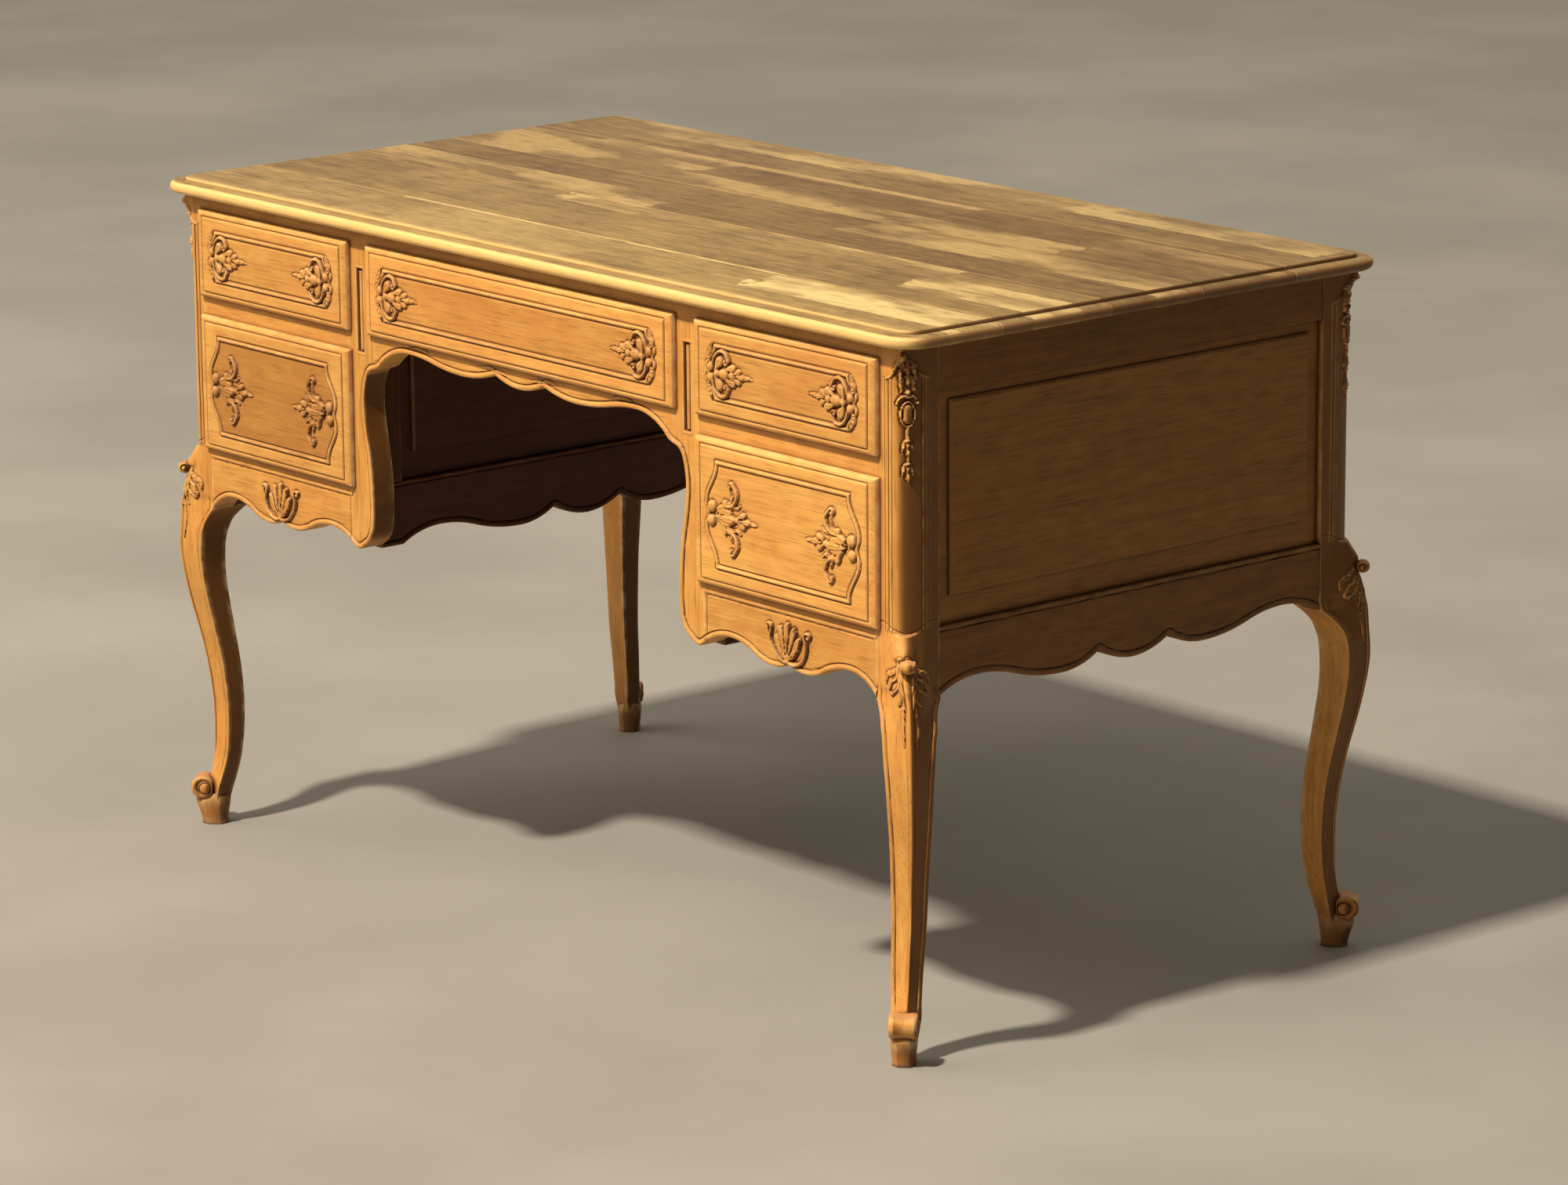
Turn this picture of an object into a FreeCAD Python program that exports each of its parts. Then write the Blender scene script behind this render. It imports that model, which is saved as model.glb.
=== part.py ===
import FreeCAD, Part
import math
import os

V = FreeCAD.Vector

# Whole desk. X runs along its length, the drawers face -Y, and the floor is Z = 0.
TOP_LENGTH = 1300.0
TOP_DEPTH = 684.0
DESK_HEIGHT = 770.0
TOP_SIDE_OVERHANG = 28.0
TOP_FRONT_OVERHANG = 18.0

# Top of glued boards, with a rounded nose below a slightly raised field
TOP_THICKNESS = 17.0
TOP_FIELD_RISE = 4.0
TOP_FIELD_INSET = 18.0
TOP_CORNER_RADIUS = 38.0
TOP_NOSE_RADIUS = 6.0
TOP_FIELD_ROUNDING = 2.0
NOSE_STEPS = 2
TOP_CORNER_STEPS = 5
TOP_JOINT_SHARES = (0.19, 0.41, 0.60, 0.80)

# Drawer fronts as seen from the front: the lip covers the edge of each opening
CENTRE_HALF = 269.0
STILE_SHOWING = 33.0
FRIEZE_SHOWING = 15.0
UPPER_FRONT_HEIGHT = 102.0
DIVIDER_SHOWING = 21.0
LOWER_FRONT_HEIGHT = 158.0
LIP_OVERLAP = 7.0
LIP_PROUD = 7.5
LIP_ROUNDING = 6.0
LIP_STEPS = 3
FIELD_PROUD = 1.0
FIELD_INSET = 8.0
PANEL_PROUD = 1.0
PANEL_MARGIN = 21.0
PANEL_END_MARGIN = 36.0
PANEL_BULGE = 12.0
FRONT_INSIDE = 13.5

# Drawer boxes
DRAWER_BACK_GAP = 108.0
SIDE_THICKNESS = 12.0
BACK_THICKNESS = 10.0
BOTTOM_THICKNESS = 6.0
BOTTOM_LIFT = 8.0
GROOVE_DEPTH = 5.0
BACK_DROP = 6.0
BACK_INSET = 8.0
TAIL_LENGTH = 9.0
TAIL_WIDE = 16.0
TAIL_NARROW = 11.0
TAIL_PITCH = 28.0
SIDE_CLEARANCE = 1.0
TOP_CLEARANCE = 3.0
FRONT_CLEARANCE = 1.5

# Corner posts, each one piece of wood with its cabriole leg
POST_WIDTH = 39.0
POST_DEPTH = 50.0
SHOULDER_BELOW_TOP = 314.0
KNEE_BELOW_TOP = 386.0
COLUMN_BELOW_TOP = 52.0
COLUMN_INSET_X = 14.5
COLUMN_INSET_Y = 27.0
COLUMN_QUIRK = 1.5
BEAD_WIDTH = 4.0
BEAD_QUIRK = 1.2
FOOT_INSET = 10.0
LEG_REACH = 30.0
SCROLL_RADIUS = 14.0
SCROLL_OUT = 12.0
SCROLL_HEIGHT = 44.5
SCROLL_WIDTH = 35.0
SCROLL_EYE_RADIUS = 5.0
SCROLL_EYE_PROUD = 2.0
SCROLL_SIDES = 14
EYE_SIDES = 8
ROLL_RADIUS = 8.0
ROLL_OUT = 23.5
ROLL_ASIDE = 6.5
ROLL_BELOW_TOP = 343.0
ROLL_WIDTH = 18.0
# The tongue above the roll: share of the height from the roll to the post, and reach along the
# diagonal as a share of the roll's
TONGUE_SHARES = ((0.0, 0.94), (0.3, 0.85), (0.55, 0.66), (0.8, 0.43), (1.0, 0.22))
TONGUE_WIDTH_SHARE = 0.9
OUTER_CHORDS = 3

# Pad sections: its reach towards the desk and outwards along the diagonal, half its width
# across the diagonal, and its height above the floor
PAD_SECTIONS = (
    (-14.5, 14.0, 12.4, 0.0),
    (-14.0, 14.5, 12.2, 5.0),
    (-16.0, 18.0, 13.2, 18.0),
    (-17.5, 21.5, 13.8, 29.0),
    (-14.0, 18.0, 11.5, 36.0),
)
PAD_FACET_SHARE = 0.5

# Knee sections: share of the height from the aprons' underside to the post, and reach of the
# outer faces along X and Y from the foot's centre as shares of LEG_REACH. The inner faces stay
# flush with the post.
KNEE_SHARES = ((0.0, 0.97, 0.585), (0.24, 0.83, 0.54), (0.50, 0.65, 0.47), (0.76, 0.45, 0.39), (1.0, 0.3333, 0.3333))
# Leg sections: share of the leg's height, reach of the outer faces along X and Y, and reach of
# the inner faces along X and Y, again as shares of LEG_REACH. The leg leans towards the ends.
LEG_SHARES = (
    (0.060, 0.273, 0.233, 0.383, 0.367),
    (0.130, 0.253, 0.150, 0.550, 0.583),
    (0.208, 0.167, -0.033, 0.783, 0.750),
    (0.286, 0.140, -0.107, 0.860, 0.867),
    (0.378, 0.200, -0.133, 0.863, 0.927),
    (0.482, 0.323, -0.043, 0.793, 0.893),
    (0.586, 0.550, 0.120, 0.653, 0.787),
    (0.690, 0.813, 0.353, 0.500, 0.653),
    (0.781, 0.997, 0.527, 0.407, 0.560),
    (0.872, 1.087, 0.627, 0.420, 0.570),
    (0.951, 1.020, 0.600, 0.600, 0.790),
)
# The knee's faces swing out between these shares of the leg's height, and bend at these shares
# of their width and of the way out
KNEE_FLOW_SHARES = (1.036, 0.922)
FLOW_BEND_SHARES = (0.5, 0.6)
KNEE_STEPS = 5
LEG_STEPS = 17
# Radius of the outer corner at the foot, at the knee's underside and at the post
CORNER_RADII = (3.0, 6.0, 15.0)
# Above the leg's last section the inner faces curve in under the aprons: share of the leg's
# height, and reach towards the front's middle and the side's middle as shares of LEG_REACH
BRACKET_SHARES = ((0.974, 0.745, 0.97), (0.988, 0.86, 1.16))

# Rails, stiles and aprons of the front and back frames
FRAME_THICKNESS = 28.0
INNER_FRAME_THICKNESS = 16.0
INNER_STILE_DEPTH = 30.0
TENON_LENGTH = 18.0
TENON_THICKNESS = 8.0
TENON_SHOULDER = 5.0

# Side frames and the panels in them
SIDE_FRAME_THICKNESS = 22.0
SET_BACK = 1.0
SIDE_RAIL_HEIGHT = 51.0
PANEL_FOOT_BELOW_TOP = 313.0
SUNK_DEPTH = 6.0
PANEL_THICKNESS = 9.0
PANEL_TONGUE = 8.0
FIELD_SIDE_MARGIN = 18.0
FIELD_TOP_MARGIN = 12.0
FIELD_FOOT_MARGIN = 30.0
FIELD_RISE = 5.0

# Sunk bead on each inner stile
SLOT_WIDTH = 11.0
SLOT_LENGTH = 95.0
SLOT_DEPTH = 3.0
SLOT_TOP_MARGIN = 29.0

# Scalloped lower edges: height of the lowest line, rise of the scallops above it, and the
# lobes from the middle outwards as shares of the half span and of the rise
SIDE_APRON_BELOW_TOP = 390.0
SIDE_APRON_RISE = 19.0
SIDE_LOBE_SHARES = (
    ((0.0, 0.0), (0.0915, 0.20), (0.183, 0.80)),
    (
        (0.183, 0.80), (0.26, 0.26), (0.37, 0.0), (0.485, 0.123), (0.60, 0.50),
        (0.70, 0.878), (0.80, 1.0), (0.90, 0.81), (1.0, 0.20),
    ),
)
FRONT_APRON_BELOW_TOP = 383.0
FRONT_APRON_RISE = 17.5
FRONT_OUTER_LOBE_SHARES = (
    (0.0, 0.35), (0.085, 0.09), (0.18, 0.0), (0.30, 0.118), (0.42, 0.50),
    (0.555, 0.88), (0.69, 1.0), (0.845, 0.754), (1.0, -0.17),
)
FRONT_INNER_LOBE_SHARES = FRONT_OUTER_LOBE_SHARES[:-2] + ((0.845, 0.817), (1.0, 0.20))
ARCH_FOOT_BELOW_TOP = 173.0
ARCH_RISE = 27.5
ARCH_LOBE_SHARES = (
    ((0.0, 0.64), (0.08, 0.727), (0.16, 1.0)),
    (
        (0.16, 1.0), (0.27, 0.712), (0.38, 0.62), (0.48, 0.665), (0.58, 0.80),
        (0.67, 0.943), (0.76, 0.99), (0.8625, 0.806), (0.965, 0.15),
    ),
)
ARCH_STEP_SHARES = ((0.965, 0.15), (1.0, 0.0))
STILE_EDGE_SHARES = (
    (0.0, 1.0), (0.15, 0.990), (0.30, 0.950), (0.405, 0.862), (0.42, 0.767), (0.37, 0.68), (0.277, 0.576),
    (0.19, 0.452), (0.149, 0.31), (0.14, 0.233), (0.17, 0.157), (0.30, 0.071), (0.575, 0.019), (0.77, 0.0),
    (1.0, 0.0166667),
)

# Drawer runners, kickers above the drawers, and the blocks that hold the top
RUNNER_WIDTH = 20.0
RUNNER_HEIGHT = 20.0
GUIDE_HEIGHT = 26.0
GUIDE_GAP = 0.6
BLOCK_LENGTH = 36.0
BLOCK_HEIGHT = 16.0
BLOCK_DEPTH = 14.0
BLOCK_PLACE_SHARES = (-0.45, 0.45)
OVERRUN = 2.0

# Places worked out from the sizes above
HALF_LENGTH = TOP_LENGTH / 2 - TOP_SIDE_OVERHANG
HALF_DEPTH = TOP_DEPTH / 2 - TOP_FRONT_OVERHANG
POST_SHOULDER = DESK_HEIGHT - SHOULDER_BELOW_TOP
KNEE_UNDERSIDE = DESK_HEIGHT - KNEE_BELOW_TOP
COLUMN_TOP = DESK_HEIGHT - COLUMN_BELOW_TOP
ROLL_HEIGHT = DESK_HEIGHT - ROLL_BELOW_TOP
APRON_TOP = DESK_HEIGHT - PANEL_FOOT_BELOW_TOP
SIDE_APRON_LOW = DESK_HEIGHT - SIDE_APRON_BELOW_TOP
FRONT_APRON_LOW = DESK_HEIGHT - FRONT_APRON_BELOW_TOP
ARCH_FOOT = DESK_HEIGHT - ARCH_FOOT_BELOW_TOP
TOP_UNDERSIDE = DESK_HEIGHT - TOP_THICKNESS
UPPER_FRONT_TOP = TOP_UNDERSIDE - FRIEZE_SHOWING
UPPER_FRONT_FOOT = UPPER_FRONT_TOP - UPPER_FRONT_HEIGHT
LOWER_FRONT_TOP = UPPER_FRONT_FOOT - DIVIDER_SHOWING
LOWER_FRONT_FOOT = LOWER_FRONT_TOP - LOWER_FRONT_HEIGHT
BANK_INNER = CENTRE_HALF + STILE_SHOWING
OPENING_INNER = BANK_INNER + LIP_OVERLAP
OPENING_OUTER = HALF_LENGTH - POST_WIDTH
BANK_OUTER = OPENING_OUTER + LIP_OVERLAP
CENTRE_OPENING = CENTRE_HALF - LIP_OVERLAP
UPPER_OPENING_TOP = UPPER_FRONT_TOP - LIP_OVERLAP
UPPER_OPENING_FOOT = UPPER_FRONT_FOOT + LIP_OVERLAP
LOWER_OPENING_TOP = LOWER_FRONT_TOP - LIP_OVERLAP
LOWER_OPENING_FOOT = LOWER_FRONT_FOOT + LIP_OVERLAP
POST_INNER_Y = HALF_DEPTH - POST_DEPTH
FRAME_BACK_Y = HALF_DEPTH - FRAME_THICKNESS
REAR_INNER_Y = FRAME_BACK_Y - SET_BACK
INNER_FACE_X = OPENING_INNER - INNER_FRAME_THICKNESS
INNER_STILE_Y = FRAME_BACK_Y - INNER_STILE_DEPTH
PANEL_OPENING_TOP = TOP_UNDERSIDE - SIDE_RAIL_HEIGHT
SIDE_FACE_X = HALF_LENGTH - SET_BACK
BACK_FACE_Y = HALF_DEPTH - SET_BACK
SIDE_INNER_X = SIDE_FACE_X - SIDE_FRAME_THICKNESS
FOOT_X = HALF_LENGTH - FOOT_INSET
FOOT_Y = HALF_DEPTH - FOOT_INSET
DRAWER_END_Y = HALF_DEPTH - DRAWER_BACK_GAP


def block(x0, x1, y0, y1, z0, z1):
    """A rectangular piece between two corners."""
    return Part.makeBox(x1 - x0, y1 - y0, z1 - z0, V(x0, y0, z0))


def mirror_x(shape):
    """The same piece on the other side of the desk's middle."""
    return shape.mirror(V(0, 0, 0), V(1, 0, 0))


def mirror_y(shape):
    """The same piece turned from back to front."""
    return shape.mirror(V(0, 0, 0), V(0, 1, 0))


def run_edges(points):
    """Edges through a run of points: a line for two points, and an arc for each three of an odd run."""
    if len(points) == 2:
        return [Part.makeLine(points[0], points[1])]
    arcs = []
    for start in range(0, len(points) - 2, 2):
        arcs.append(Part.Arc(points[start], points[start + 1], points[start + 2]).toShape())
    return arcs


def board(runs, thickness):
    """A board whose outline is made of the given runs of points."""
    wire = Part.Wire([edge for run in runs for edge in run_edges(run)])
    return Part.Face(wire).extrude(thickness)


def line_runs(points):
    """Straight runs through the given points in turn."""
    return [[points[i], points[i + 1]] for i in range(len(points) - 1)]


def lobe_points(shares, half_span, low, rise):
    """Points of one lobe, measured from the middle of its span."""
    return [(along * half_span, low + up * rise) for along, up in shares]


def scalloped_runs(lobes, half_span, low, rise, place):
    """The scalloped edge from one end of the span to the other, with its middle lobe in one curve."""
    middle = lobe_points(lobes[0], half_span, low, rise)
    centre = [(-u, z) for u, z in reversed(middle[1:])] + middle
    outer = [lobe_points(lobe, half_span, low, rise) for lobe in lobes[1:]]
    runs = [[(-u, z) for u, z in reversed(lobe)] for lobe in reversed(outer)]
    runs += [centre] + outer
    return [[place(u, z) for u, z in run] for run in runs]


def cut_all(piece, tools):
    """The piece with the sockets, grooves and housings that its neighbours need."""
    for tool in tools:
        piece = piece.cut(tool)
    return piece.removeSplitter()


def join(shapes):
    """One piece of wood made of several forms."""
    whole = shapes[0]
    for shape in shapes[1:]:
        whole = whole.fuse(shape)
    return whole.removeSplitter()


def corner_chords(x, y, sx, sy, z, radius, count):
    """Points round a corner from its side along X to its side along Y; sx and sy point inwards."""
    points = []
    for step in range(count + 1):
        turn = math.pi / 2 * step / count
        points.append(V(x + sx * radius * (1 - math.sin(turn)), y + sy * radius * (1 - math.cos(turn)), z))
    return points


def leg_section(x0, x1, y0, y1, z, outer_radius):
    """A square section of the leg, rounded in chords at the outer corner x1, y1.

    Its outer faces start flush with the aprons at the knee and swing out to the full reach below it.
    """
    start, end = KNEE_FLOW_SHARES
    drop = min(max((start - z / KNEE_UNDERSIDE) / (start - end), 0), 1)
    swing = drop * drop * (3 - 2 * drop)
    edge_x = HALF_LENGTH + (x1 - HALF_LENGTH) * swing
    edge_y = HALF_DEPTH + (y1 - HALF_DEPTH) * swing
    bend_x = edge_x + (x1 - edge_x) * FLOW_BEND_SHARES[1]
    bend_y = edge_y + (y1 - edge_y) * FLOW_BEND_SHARES[1]
    across_x = x0 + (x1 - outer_radius - x0) * FLOW_BEND_SHARES[0]
    across_y = y0 + (y1 - outer_radius - y0) * FLOW_BEND_SHARES[0]
    places = ((bend_x, across_y), (edge_x, y0), (x0, y0), (x0, edge_y), (across_x, bend_y))
    points = [V(x, y, z) for x, y in places]
    points += corner_chords(x1, y1, -1, -1, z, outer_radius, OUTER_CHORDS)
    return Part.makePolygon(points + points[:1])


def smooth_pairs(rows, steps):
    """Pairs of shares at even heights on the smooth curve through rows of a height and a pair."""
    curve = Part.BSplineCurve()
    curve.interpolate(Points=[V(*row) for row in rows], Parameters=[row[0] for row in rows])
    span = curve.LastParameter - curve.FirstParameter
    return [curve.value(curve.FirstParameter + span * step / steps) for step in range(steps + 1)]


def knee():
    """The swelling knee between the post and the underside of the aprons."""
    sections = []
    for row in smooth_pairs(KNEE_SHARES, KNEE_STEPS):
        sections.append(leg_section(
            OPENING_OUTER, FOOT_X + row.y * LEG_REACH, POST_INNER_Y, FOOT_Y + row.z * LEG_REACH,
            KNEE_UNDERSIDE + row.x * (POST_SHOULDER - KNEE_UNDERSIDE),
            CORNER_RADII[1] + row.x * (CORNER_RADII[2] - CORNER_RADII[1]),
        ))
    return Part.makeLoft(sections, True, True)


def leg():
    """The cabriole leg below the knee, four-sided in section with its corner outwards."""
    sections = []
    outer_rows = smooth_pairs([row[:3] for row in LEG_SHARES], LEG_STEPS)
    inner_rows = smooth_pairs([(row[0],) + row[3:] for row in LEG_SHARES], LEG_STEPS)
    for outer, inner in zip(outer_rows, inner_rows):
        sections.append(leg_section(
            FOOT_X - inner.y * LEG_REACH, FOOT_X + outer.y * LEG_REACH,
            FOOT_Y - inner.z * LEG_REACH, FOOT_Y + outer.z * LEG_REACH,
            outer.x * KNEE_UNDERSIDE, CORNER_RADII[0] + outer.x * (CORNER_RADII[1] - CORNER_RADII[0]),
        ))
    outer_x = FOOT_X + KNEE_SHARES[0][1] * LEG_REACH
    outer_y = FOOT_Y + KNEE_SHARES[0][2] * LEG_REACH
    for share, reach_x, reach_y in BRACKET_SHARES:
        sections.append(leg_section(
            FOOT_X - reach_x * LEG_REACH, outer_x, FOOT_Y - reach_y * LEG_REACH, outer_y,
            share * KNEE_UNDERSIDE, CORNER_RADII[1],
        ))
    sections.append(leg_section(OPENING_OUTER, outer_x, POST_INNER_Y, outer_y, KNEE_UNDERSIDE, CORNER_RADII[1]))
    return Part.makeLoft(sections, True, True)


def on_diagonal(out, aside, z):
    """A point measured from the foot's centre along the leg's diagonal and square to it."""
    return V(FOOT_X + (out + aside) / math.sqrt(2), FOOT_Y + (out - aside) / math.sqrt(2), z)


def pad_section(inner, outer, half_width, z):
    """An eight-sided section of the pad, with its corners taken off."""
    centre = (inner + outer) / 2
    half = (outer - inner) / 2
    points = []
    for out, aside in ((1, -1), (1, 1), (-1, 1), (-1, -1)):
        near = (out, aside * PAD_FACET_SHARE)
        far = (out * PAD_FACET_SHARE, aside)
        for u, v in ((near, far) if out * aside > 0 else (far, near)):
            points.append(on_diagonal(centre + u * half, v * half_width, z))
    return Part.makePolygon(points + points[:1])


def pad():
    """The faceted pad under the scroll, drawn in towards the floor."""
    sections = [pad_section(inner, outer, half_width, z) for inner, outer, half_width, z in PAD_SECTIONS]
    return Part.makeLoft(sections, True, True)


def round_bar(radius, width, out, height, sides, aside=0):
    """A bar of many facets lying square to the leg's diagonal, out from the foot's centre."""
    points = []
    for step in range(sides):
        turn = math.pi * 2 * (step + 1 / 2) / sides
        place = out + radius * math.cos(turn)
        points.append(on_diagonal(place, aside - width / 2, height + radius * math.sin(turn)))
    face = Part.Face(Part.makePolygon(points + points[:1]))
    return face.extrude(V(width / math.sqrt(2), -width / math.sqrt(2), 0))


def tongue():
    """The tongue that runs down the corner from the post to the roll."""
    half = ROLL_WIDTH * TONGUE_WIDTH_SHARE / 2
    sections = []
    for up, reach in TONGUE_SHARES:
        z = ROLL_HEIGHT + up * (POST_SHOULDER - ROLL_HEIGHT)
        out = reach * (ROLL_OUT + ROLL_RADIUS)
        corners = ((0, -half), (out, -half), (out, half), (0, half))
        points = [on_diagonal(u, v + ROLL_ASIDE, z) for u, v in corners]
        sections.append(Part.makePolygon(points + points[:1]))
    return Part.makeLoft(sections, True, True)


def column_section():
    """The post's section above the knee: a flattened quarter round between a bead on each face."""
    round_x = HALF_LENGTH - COLUMN_INSET_X
    round_y = HALF_DEPTH - COLUMN_INSET_Y
    bend_x = (COLUMN_INSET_X - COLUMN_QUIRK) / math.sqrt(2)
    bend_y = (COLUMN_INSET_Y - COLUMN_QUIRK) / math.sqrt(2)
    points = [
        V(round_x, HALF_DEPTH - COLUMN_QUIRK, 0),
        V(round_x, HALF_DEPTH, 0),
        V(round_x - BEAD_WIDTH, HALF_DEPTH, 0),
        V(round_x - BEAD_WIDTH, HALF_DEPTH - BEAD_QUIRK, 0),
        V(round_x - BEAD_WIDTH - BEAD_QUIRK, HALF_DEPTH - BEAD_QUIRK, 0),
        V(round_x - BEAD_WIDTH - BEAD_QUIRK, HALF_DEPTH, 0),
        V(OPENING_OUTER, HALF_DEPTH, 0),
        V(OPENING_OUTER, POST_INNER_Y, 0),
        V(HALF_LENGTH, POST_INNER_Y, 0),
        V(HALF_LENGTH, round_y - BEAD_WIDTH - BEAD_QUIRK, 0),
        V(HALF_LENGTH - BEAD_QUIRK, round_y - BEAD_WIDTH - BEAD_QUIRK, 0),
        V(HALF_LENGTH - BEAD_QUIRK, round_y - BEAD_WIDTH, 0),
        V(HALF_LENGTH, round_y - BEAD_WIDTH, 0),
        V(HALF_LENGTH, round_y, 0),
        V(HALF_LENGTH - COLUMN_QUIRK, round_y, 0),
    ]
    edges = [edge for run in line_runs(points) for edge in run_edges(run)]
    edges.append(Part.Arc(points[-1], V(round_x + bend_x, round_y + bend_y, 0), points[0]).toShape())
    return Part.Wire(edges)


def post_and_leg():
    """The back right corner post with its leg, before the sockets are cut."""
    column = Part.Face(column_section()).extrude(V(0, 0, COLUMN_TOP - POST_SHOULDER))
    column.translate(V(0, 0, POST_SHOULDER))
    head = block(OPENING_OUTER, HALF_LENGTH, POST_INNER_Y, HALF_DEPTH, COLUMN_TOP, TOP_UNDERSIDE)
    scroll = round_bar(SCROLL_RADIUS, SCROLL_WIDTH, SCROLL_OUT, SCROLL_HEIGHT, SCROLL_SIDES)
    eye_width = SCROLL_WIDTH + SCROLL_EYE_PROUD * 2
    eye = round_bar(SCROLL_EYE_RADIUS, eye_width, SCROLL_OUT, SCROLL_HEIGHT, EYE_SIDES)
    roll = round_bar(ROLL_RADIUS, ROLL_WIDTH, ROLL_OUT, ROLL_HEIGHT, EYE_SIDES, ROLL_ASIDE)
    return join([column, head, knee(), leg(), pad(), scroll, eye, roll, tongue()])


def tenon(x0, x1, y0, y1, z0, z1):
    """A tenon that stands in from the top and bottom shoulders of its rail."""
    return block(x0, x1, y0, y1, z0 + TENON_SHOULDER, z1 - TENON_SHOULDER)


def end_tenons_y(half_span, x0, x1, z0, z1):
    """A tenon through the length of a rail that runs along Y."""
    middle_x = (x0 + x1) / 2
    return tenon(
        middle_x - TENON_THICKNESS / 2, middle_x + TENON_THICKNESS / 2,
        -half_span - TENON_LENGTH, half_span + TENON_LENGTH, z0, z1,
    )


def side_rail(half_span, x0, x1):
    """The top rail of a side frame."""
    rail = block(x0, x1, -half_span, half_span, PANEL_OPENING_TOP, TOP_UNDERSIDE)
    return join([rail, end_tenons_y(half_span, x0, x1, PANEL_OPENING_TOP, TOP_UNDERSIDE)])


def side_apron(half_span, x0, x1):
    """The scalloped bottom rail of a side frame."""
    lower = scalloped_runs(
        SIDE_LOBE_SHARES, half_span, SIDE_APRON_LOW, SIDE_APRON_RISE, lambda u, z: V(x0, u, z),
    )
    upper = [lower[-1][-1], V(x0, half_span, APRON_TOP), V(x0, -half_span, APRON_TOP), lower[0][0]]
    apron = board(lower + line_runs(upper), V(x1 - x0, 0, 0))
    low = SIDE_APRON_LOW + SIDE_APRON_RISE
    return join([apron, end_tenons_y(half_span, x0, x1, low, APRON_TOP)])


def fielded_panel(along, z0, z1, depth):
    """A panel in its own plane: tongues all round and a raised field, facing the third axis."""
    half = along / 2
    sheet = block(-half - PANEL_TONGUE, half + PANEL_TONGUE, 0, depth, z0 - PANEL_TONGUE, z1 + PANEL_TONGUE)
    field = block(
        -half + FIELD_SIDE_MARGIN, half - FIELD_SIDE_MARGIN, depth, depth + FIELD_RISE,
        z0 + FIELD_FOOT_MARGIN, z1 - FIELD_TOP_MARGIN,
    )
    face_edges = [edge for edge in field.Edges if all(v.Y > depth for v in edge.Vertexes)]
    field = field.makeChamfer(FIELD_RISE / 2, face_edges)
    return join([sheet, field])


def side_panel(half_span, face_x, inner_x):
    """The fielded panel of a side frame, its field towards face_x."""
    panel = fielded_panel(half_span * 2, APRON_TOP, PANEL_OPENING_TOP, PANEL_THICKNESS)
    panel.rotate(V(0, 0, 0), V(0, 0, 1), -90)
    sunk_face = face_x - SUNK_DEPTH
    if face_x < inner_x:
        panel = mirror_x(panel)
        sunk_face = face_x + SUNK_DEPTH
        panel.translate(V(sunk_face + PANEL_THICKNESS, 0, 0))
    else:
        panel.translate(V(sunk_face - PANEL_THICKNESS, 0, 0))
    return panel


def back_panel(x0, x1, z0, z1):
    """A fielded panel of the back frame."""
    panel = fielded_panel(x1 - x0, z0, z1, PANEL_THICKNESS)
    panel.translate(V((x0 + x1) / 2, BACK_FACE_Y - SUNK_DEPTH - PANEL_THICKNESS, 0))
    return panel


def stile_front_face(y):
    """The inner stile's outline: a serpentine inner edge that ends in a scroll at its foot."""
    width = OPENING_INNER - CENTRE_OPENING
    height = ARCH_FOOT - FRONT_APRON_LOW
    edge = [V(CENTRE_OPENING + u * width, y, FRONT_APRON_LOW + v * height) for u, v in STILE_EDGE_SHARES]
    rest = [edge[-1], V(OPENING_INNER, y, UPPER_OPENING_TOP), V(CENTRE_OPENING, y, UPPER_OPENING_TOP)]
    rest.append(edge[0])
    return [edge] + line_runs(rest)


def sunk_slot():
    """The narrow sunk panel on an inner stile beside the upper drawer."""
    middle = (BANK_INNER + CENTRE_HALF) / 2
    top = UPPER_FRONT_TOP - SLOT_TOP_MARGIN
    return block(
        middle - SLOT_WIDTH / 2, middle + SLOT_WIDTH / 2, -HALF_DEPTH - OVERRUN, -HALF_DEPTH + SLOT_DEPTH,
        top - SLOT_LENGTH, top,
    )


def inner_stile():
    """A front inner stile with the return that carries the kneehole's side frame."""
    front = board(stile_front_face(-HALF_DEPTH), V(0, FRAME_THICKNESS, 0)).cut(sunk_slot())
    foot = FRONT_APRON_LOW + FRONT_APRON_RISE
    back = block(
        INNER_FACE_X, OPENING_INNER, -FRAME_BACK_Y, -INNER_STILE_Y, foot, UPPER_OPENING_TOP,
    )
    return join([front, back])


def pedestal_apron():
    """The front apron under one pair of drawers."""
    middle = (OPENING_INNER + OPENING_OUTER) / 2
    half_span = (OPENING_OUTER - OPENING_INNER) / 2
    y = -HALF_DEPTH
    inner = lobe_points(FRONT_INNER_LOBE_SHARES, half_span, FRONT_APRON_LOW, FRONT_APRON_RISE)
    outer = lobe_points(FRONT_OUTER_LOBE_SHARES, half_span, FRONT_APRON_LOW, FRONT_APRON_RISE)
    lower = [[V(middle - u, y, z) for u, z in reversed(inner)], [V(middle + u, y, z) for u, z in outer]]
    upper = [
        lower[-1][-1], V(OPENING_OUTER, y, LOWER_OPENING_FOOT),
        V(OPENING_INNER, y, LOWER_OPENING_FOOT), lower[0][0],
    ]
    apron = board(lower + line_runs(upper), V(0, FRAME_THICKNESS, 0))
    tenons = frame_tenon(OPENING_INNER, OPENING_OUTER, FRONT_APRON_LOW + FRONT_APRON_RISE, LOWER_OPENING_FOOT)
    return join([apron, tenons])


def frame_tenon(x0, x1, z0, z1):
    """The tenons of a front rail between x0 and x1, drawn through its length."""
    middle_y = -HALF_DEPTH + FRAME_THICKNESS / 2
    return tenon(
        x0 - TENON_LENGTH, x1 + TENON_LENGTH,
        middle_y - TENON_THICKNESS / 2, middle_y + TENON_THICKNESS / 2, z0, z1,
    )


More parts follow.
